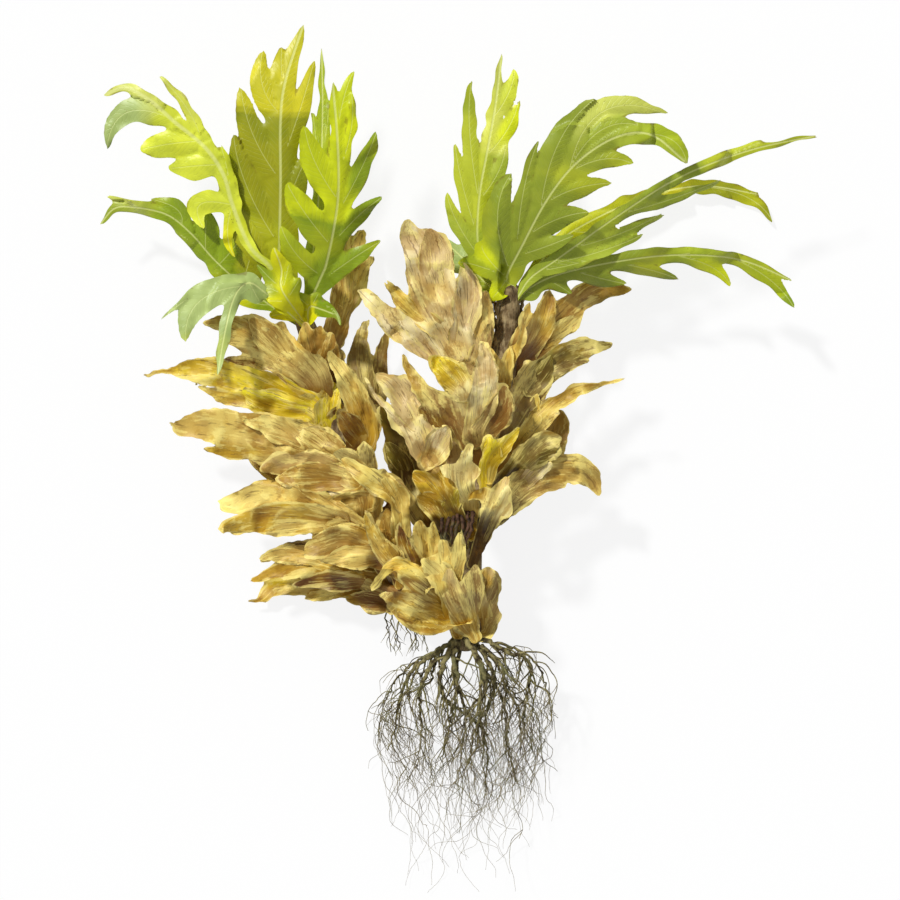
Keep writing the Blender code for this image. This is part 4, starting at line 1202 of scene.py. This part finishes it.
def root_material(name, dark, pale):
    """Grainy, between the two colours, with moss in places."""
    shader = Shader(name, roughness=0.75, specular=0.25)
    place = shader.place()
    grain = shader.noise(place, 160, 5, 0.65)
    colour = shader.mix(shader.ramp(grain, 0.36, 0.64), dark, pale)
    colour = shader.over(colour, ROOT_MOSS, shader.noise(place, 45, 2), 0.5, 0.66, 0.5)
    return shader.finish(colour, grain, 0.0008)


# ------------------------------------------------------------------ roots


def tube(points, radii, sides):
    """(vertices, faces) of a closed tube along the points."""
    points = np.asarray(points, float)
    heading = np.gradient(points, axis=0)
    heading /= np.linalg.norm(heading, axis=1)[:, None]
    across = np.cross(heading, (0.37, 0.21, 0.9))  # any way that no root runs along
    across /= np.linalg.norm(across, axis=1)[:, None]
    up = np.cross(heading, across)
    turn = np.arange(sides) * 2 * np.pi / sides
    ring = np.cos(turn)[:, None] * across[:, None] + np.sin(turn)[:, None] * up[:, None]
    vertices = (points[:, None] + ring * np.asarray(radii)[:, None, None]).reshape(-1, 3)
    faces = []
    for k in range(len(points) - 1):
        for s in range(sides):
            t = (s + 1) % sides
            a, b = k * sides, (k + 1) * sides
            faces.append((a + s, a + t, b + t, b + s))
    last = (len(points) - 1) * sides
    faces.append(tuple(range(sides))[::-1])
    faces.append(tuple(range(last, last + sides)))
    return vertices, faces


class Tubes:
    """Many tubes in one mesh."""

    def __init__(self):
        self.vertices, self.faces, self.count = [], [], 0

    def add(self, points, radii, sides):
        x, y, z = np.asarray(points).T
        vertices, faces = tube(rows(*sighted(x, y, z), z), radii, sides)
        self.vertices.append(vertices)
        self.faces += [tuple(v + self.count for v in face) for face in faces]
        self.count += len(vertices)

    def build(self, name, material):
        piece = new_piece(name, self.vertices, self.faces, material)
        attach(piece, "root")
        return piece


STEP = 3.5  # length of one stretch of a root
SWAY = 0.8  # how far a thick root's centre line strays at each step
HAIR = 0.13  # radius of a root's finest end
HAIRS = 520  # how many of the finest roots there are
FARTHEST = -432  # the least y that a root reaches,
WIDEST = 97  # and how far it may stray to either side
ROOT_LOWEST = 0.8  # least height of a side root's centre line over the floor
SHORTEST = 4  # a side root with fewer points is left out


def resample(points, random):
    """A wavering curve through the points, in even steps."""
    curve = spline(points, 24 * len(points))
    walked = np.concatenate([[0], np.cumsum(np.linalg.norm(np.diff(curve, axis=0), axis=1))])
    even = np.linspace(0, walked[-1], int(walked[-1] / STEP) + 1)
    line = rows(*(np.interp(even, walked, along) for along in curve.T))
    sway = random.normal(0, SWAY, line.shape)
    sway[0] = 0
    line += sway
    line[:, 2] = np.maximum(line[:, 2], 1.2)
    return line


def wander(start, heading, length, random, sag, turn=0.16, fall=0.09):
    """The centre line of a side root: it turns at random and drifts towards -Y and the floor."""
    points = [np.array(start, float)]
    heading = np.array(heading, float)
    for _ in range(max(4, int(length / STEP))):
        inward = -0.1 * (points[-1][0] / 92) ** 3
        heading = heading + random.normal(0, turn, 3) + (inward, -fall, -sag)
        heading /= np.linalg.norm(heading)
        place = points[-1] + heading * STEP
        if place[2] < ROOT_LOWEST:
            place[2] = ROOT_LOWEST
            heading[2] = abs(heading[2]) * 0.2
        if place[1] < FARTHEST or abs(place[0]) >= WIDEST:
            break
        points.append(place)
    return np.array(points)


class Strand(NamedTuple):
    """A thick root: points of its centre line, and its radius at both ends."""

    points: tuple
    radius: float
    end: float


STRANDS = (
    Strand(((-6, -178, 56), (-24, -192, 62), (-44, -204, 58), (-58, -226, 44), (-66, -262, 22),
            (-74, -290, 8)), 3.2, 0.6),
    Strand(((-6, -180, 50), (-34, -194, 52), (-60, -212, 40), (-76, -240, 20),
            (-84, -276, 5)), 1.9, 0.4),
    Strand(((-24, -196, 58), (-34, -222, 54), (-62, -236, 36), (-82, -262, 10)), 1.7, 0.4),
    Strand(((-24, -196, 60), (-36, -214, 62), (-42, -238, 50), (-40, -270, 24),
            (-44, -306, 6)), 2.6, 0.5),
    Strand(((-4, -180, 62), (-14, -196, 70), (-22, -216, 66), (-14, -240, 52), (8, -256, 42),
            (26, -274, 26)), 3.8, 1.0),
    Strand(((-2, -176, 66), (-8, -198, 72), (-4, -222, 66), (-10, -256, 40),
            (-20, -300, 12)), 3.4, 0.6),
    Strand(((4, -178, 66), (16, -198, 74), (24, -222, 68), (18, -250, 48), (26, -290, 20),
            (24, -320, 6)), 3.8, 0.6),
    Strand(((6, -176, 62), (28, -182, 72), (48, -192, 72), (66, -200, 60), (68, -226, 44),
            (62, -256, 26), (72, -290, 8)), 3.2, 0.6),
    Strand(((30, -182, 68), (54, -188, 66), (76, -204, 52), (86, -232, 30), (90, -262, 8)), 1.8, 0.4),
    Strand(((10, -178, 56), (34, -202, 54), (52, -232, 38), (74, -252, 20), (80, -290, 4)), 1.8, 0.4),
    Strand(((8, -180, 58), (22, -208, 58), (42, -240, 40), (46, -280, 18), (54, -320, 4)), 2.8, 0.6),
    Strand(((0, -180, 54), (-6, -216, 48), (4, -250, 30), (0, -290, 10), (-4, -330, 3)), 2.6, 0.5),
    Strand(((14, -182, 60), (32, -212, 62), (28, -240, 48), (12, -272, 24), (10, -310, 5)), 2.8, 0.6),
    Strand(((20, -184, 66), (40, -204, 68), (44, -226, 56), (58, -250, 36), (60, -296, 8)), 2.4, 0.5),
)
TUFT = tuple(
    Strand(((x + 3, -146, 34), (x, -162, 30), (x + lean, -176, 24),
            (x + lean * 1.6, -190, 18)), 0.9, 0.4)
    for x, lean in ((-76, 4), (-70, 6), (-62, -3), (-56, 5), (-50, 4), (-42, -3), (-38, 2))
)
HANGING = tuple(
    Strand(((x, -44, 96), (x + 2, -58, 106), (x - 1, -74, 108), (0.5 * x - 4, -90, 102)), 2.6, 1.0)
    for x in (-20, -15, -10, -5, 0, 5, 9)
)


def make_thick_roots(material, random):
    """The branching roots under the crown. Gives back every point that hairs may grow from."""
    tubes, grown = Tubes(), []
    for strand in STRANDS:
        line = resample(strand.points, random)
        share = np.linspace(0, 1, len(line))
        tubes.add(line, strand.radius + (strand.end - strand.radius) * share**0.7, 7)
        grown += list(line[6:])
        for k in range(4, len(line) - 2, 2):
            ahead = line[k + 1] - line[k]
            aside = np.cross(ahead, (0, 0, 1)) * random.choice((-1, 1)) * random.uniform(0.3, 1.1)
            start = (ahead + aside) / STEP + (0, -0.2, random.uniform(-0.5, 0.4))
            side = wander(line[k], start, random.uniform(25, 75), random, 0.03)
            width = strand.radius * (1 - 0.7 * share[k]) * random.uniform(0.25, 0.6)
            if len(side) >= SHORTEST:
                tubes.add(side, np.linspace(width, 0.25, len(side)), 5)
                grown += list(side[2:])
    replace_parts(tubes.build("thick_roots", material), *(f"root_0{k}" for k in range(1, 9)))
    return grown


def make_fine_roots(material, grown, random):
    """Hair roots, most of them short and a few of them long."""
    tubes = Tubes()
    for k in random.integers(0, len(grown), HAIRS):
        length = 20 + 90 * random.random() ** 1.5 + (110 if random.random() < 0.07 else 0)
        start = (random.normal(0, 0.5), -0.8, random.uniform(-0.4, 0.2))
        hair = wander(grown[k], start, length, random, 0.02, 0.2, 0.07)
        if len(hair) >= SHORTEST:
            tubes.add(hair, np.linspace(random.uniform(0.18, 0.42), HAIR, len(hair)), 4)
    tubes.build("fine_roots", material)


def make_hanging_roots(material, random):
    """The short dark roots in the fork."""
    tubes = Tubes()
    for strand in HANGING:
        line = resample(strand.points, random)
        tubes.add(line, np.linspace(strand.radius, strand.end, len(line)), 5)
    tubes.build("hanging_roots", material)


def make_side_tuft(material, random):
    """The thin, twiggy roots under the left arm."""
    tubes = Tubes()
    for strand in TUFT:
        line = resample(strand.points, random)
        tubes.add(line, np.linspace(strand.radius, strand.end, len(line)), 5)
        for k in range(3, len(line) - 1, 2):
            aside = random.choice((-1, 1))
            start = (0.5 * aside, -0.8, random.uniform(-0.3, 0.3))
            twig = wander(line[k], start, random.uniform(8, 16), random, 0.02)
            tubes.add(twig, np.linspace(0.5, HAIR, len(twig)), 4)
    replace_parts(tubes.build("side_tuft", material), "root_09")


def make_ridges(material):
    """The fibrous remains of old frond bases along the right arm's tip."""
    random, ridges = np.random.default_rng(8), Tubes()
    for place in np.linspace(-1, 1, 13):
        start = (41 + 11 * place, 108, 88 - 8 * place**2)
        middle = (42 + 16 * place, 140, 94 - 10 * place**2)
        end = (43 + 19 * place, 178 - random.uniform(0, 10), 90 - 14 * place**2)
        line = resample((start, middle, end), random)
        radii = 2.3 + 0.5 * np.sin(np.arange(len(line)) * random.uniform(0.5, 1.1))
        ridges.add(line, radii * np.linspace(1.0, 0.7, len(line)), 6)
    ridges.build("bark_ridges", material)


# ------------------------------------------------------------------ the plant


def bark_tree():
    """The rhizome's surface, to find which points of a frond are seated on it."""
    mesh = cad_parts["rhizome"].data
    return BVHTree.FromPolygons([v.co for v in mesh.vertices], [p.vertices for p in mesh.polygons])


def repaint(node, material):
    """Give a CAD solid that is shown as it is another material."""
    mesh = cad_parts[node].data
    mesh.materials.clear()
    mesh.materials.append(material)


materials = {
    "green": leaf_material(),
    "dry": papery_material(),
    "bark": bark_material(),
    "root": root_material("root", rgba(56, 45, 25), rgba(150, 140, 92)),
    "shaded": root_material("shaded_root", rgba(38, 24, 16), rgba(96, 68, 48)),
    "fine": root_material("fine_root", rgba(100, 86, 62), rgba(172, 162, 134)),
}
bark = bark_tree()
for seed, frond in enumerate(FRONDS):
    make_frond(frond, seed, bark, materials)
repaint("rhizome", materials["bark"])
root_draws = np.random.default_rng(5)
grown = make_thick_roots(materials["root"], root_draws)
make_fine_roots(materials["fine"], grown, root_draws)
make_hanging_roots(materials["shaded"], root_draws)
make_side_tuft(materials["root"], root_draws)
make_ridges(materials["bark"])


# ------------------------------------------------------------------ floor, light and camera

FLOOR_GREY = (0.94, 0.94, 0.94, 1.0)
FLOOR_GLOW = 0.86  # how much of what the camera sees of the floor is its own white
SKY_LIGHT = 0.42  # strength of the white sky on all but the camera
SUN_POWER = 2.75
SUN_WIDTH = 5.0  # degrees
SUN_TILT = (-32.0, -34.0)  # degrees about X and about Y


def make_floor():
    """A white floor that still takes the plant's shadow."""
    bpy.ops.mesh.primitive_plane_add(size=12, location=(0, 0, -0.0006))
    floor = bpy.context.object
    floor.name = "floor"
    material = bpy.data.materials.new("floor")
    material.use_nodes = True
    tree = material.node_tree
    tree.nodes.remove(tree.nodes["Principled BSDF"])
    seen = add_node(tree, "LightPath", {}, "Is Camera Ray")
    share = add_node(tree, "Math", {0: seen, 1: FLOOR_GLOW}, operation="MULTIPLY")
    lit = add_node(tree, "BsdfDiffuse", {"Color": FLOOR_GREY})
    glow = add_node(tree, "Emission", {"Color": WHITE})
    mixed = add_node(tree, "MixShader", {0: share, 1: lit, 2: glow})
    tree.links.new(mixed, tree.nodes["Material Output"].inputs["Surface"])
    floor.data.materials.append(material)


def make_light():
    """A low sun from the left over a soft white sky."""
    world = bpy.data.worlds.new("studio")
    bpy.context.scene.world = world
    world.use_nodes = True
    tree = world.node_tree
    background = tree.nodes["Background"].inputs
    background["Color"].default_value = WHITE
    seen = add_node(tree, "LightPath", {}, "Is Camera Ray")
    strength = add_node(tree, "MapRange", {"Value": seen, "To Min": SKY_LIGHT, "To Max": 1.0})
    tree.links.new(strength, background["Strength"])
    sun = bpy.data.objects.new("sun", bpy.data.lights.new("sun", "SUN"))
    sun.data.energy = SUN_POWER
    sun.data.angle = math.radians(SUN_WIDTH)
    sun.rotation_euler = (math.radians(SUN_TILT[0]), math.radians(SUN_TILT[1]), 0)
    bpy.context.scene.collection.objects.link(sun)


def make_camera():
    """Straight down over the plant."""
    camera = bpy.data.objects.new("camera", bpy.data.cameras.new("camera"))
    camera.data.lens = 85
    camera.data.sensor_width = 36
    camera.location = (EYE[0] * MM, EYE[1] * MM, (LEVEL + DISTANCE) * MM)
    camera.rotation_euler = (0, 0, 0)
    bpy.context.scene.collection.objects.link(camera)
    bpy.context.scene.camera = camera


make_floor()
make_light()
make_camera()
bpy.context.scene.view_settings.view_transform = "Standard"
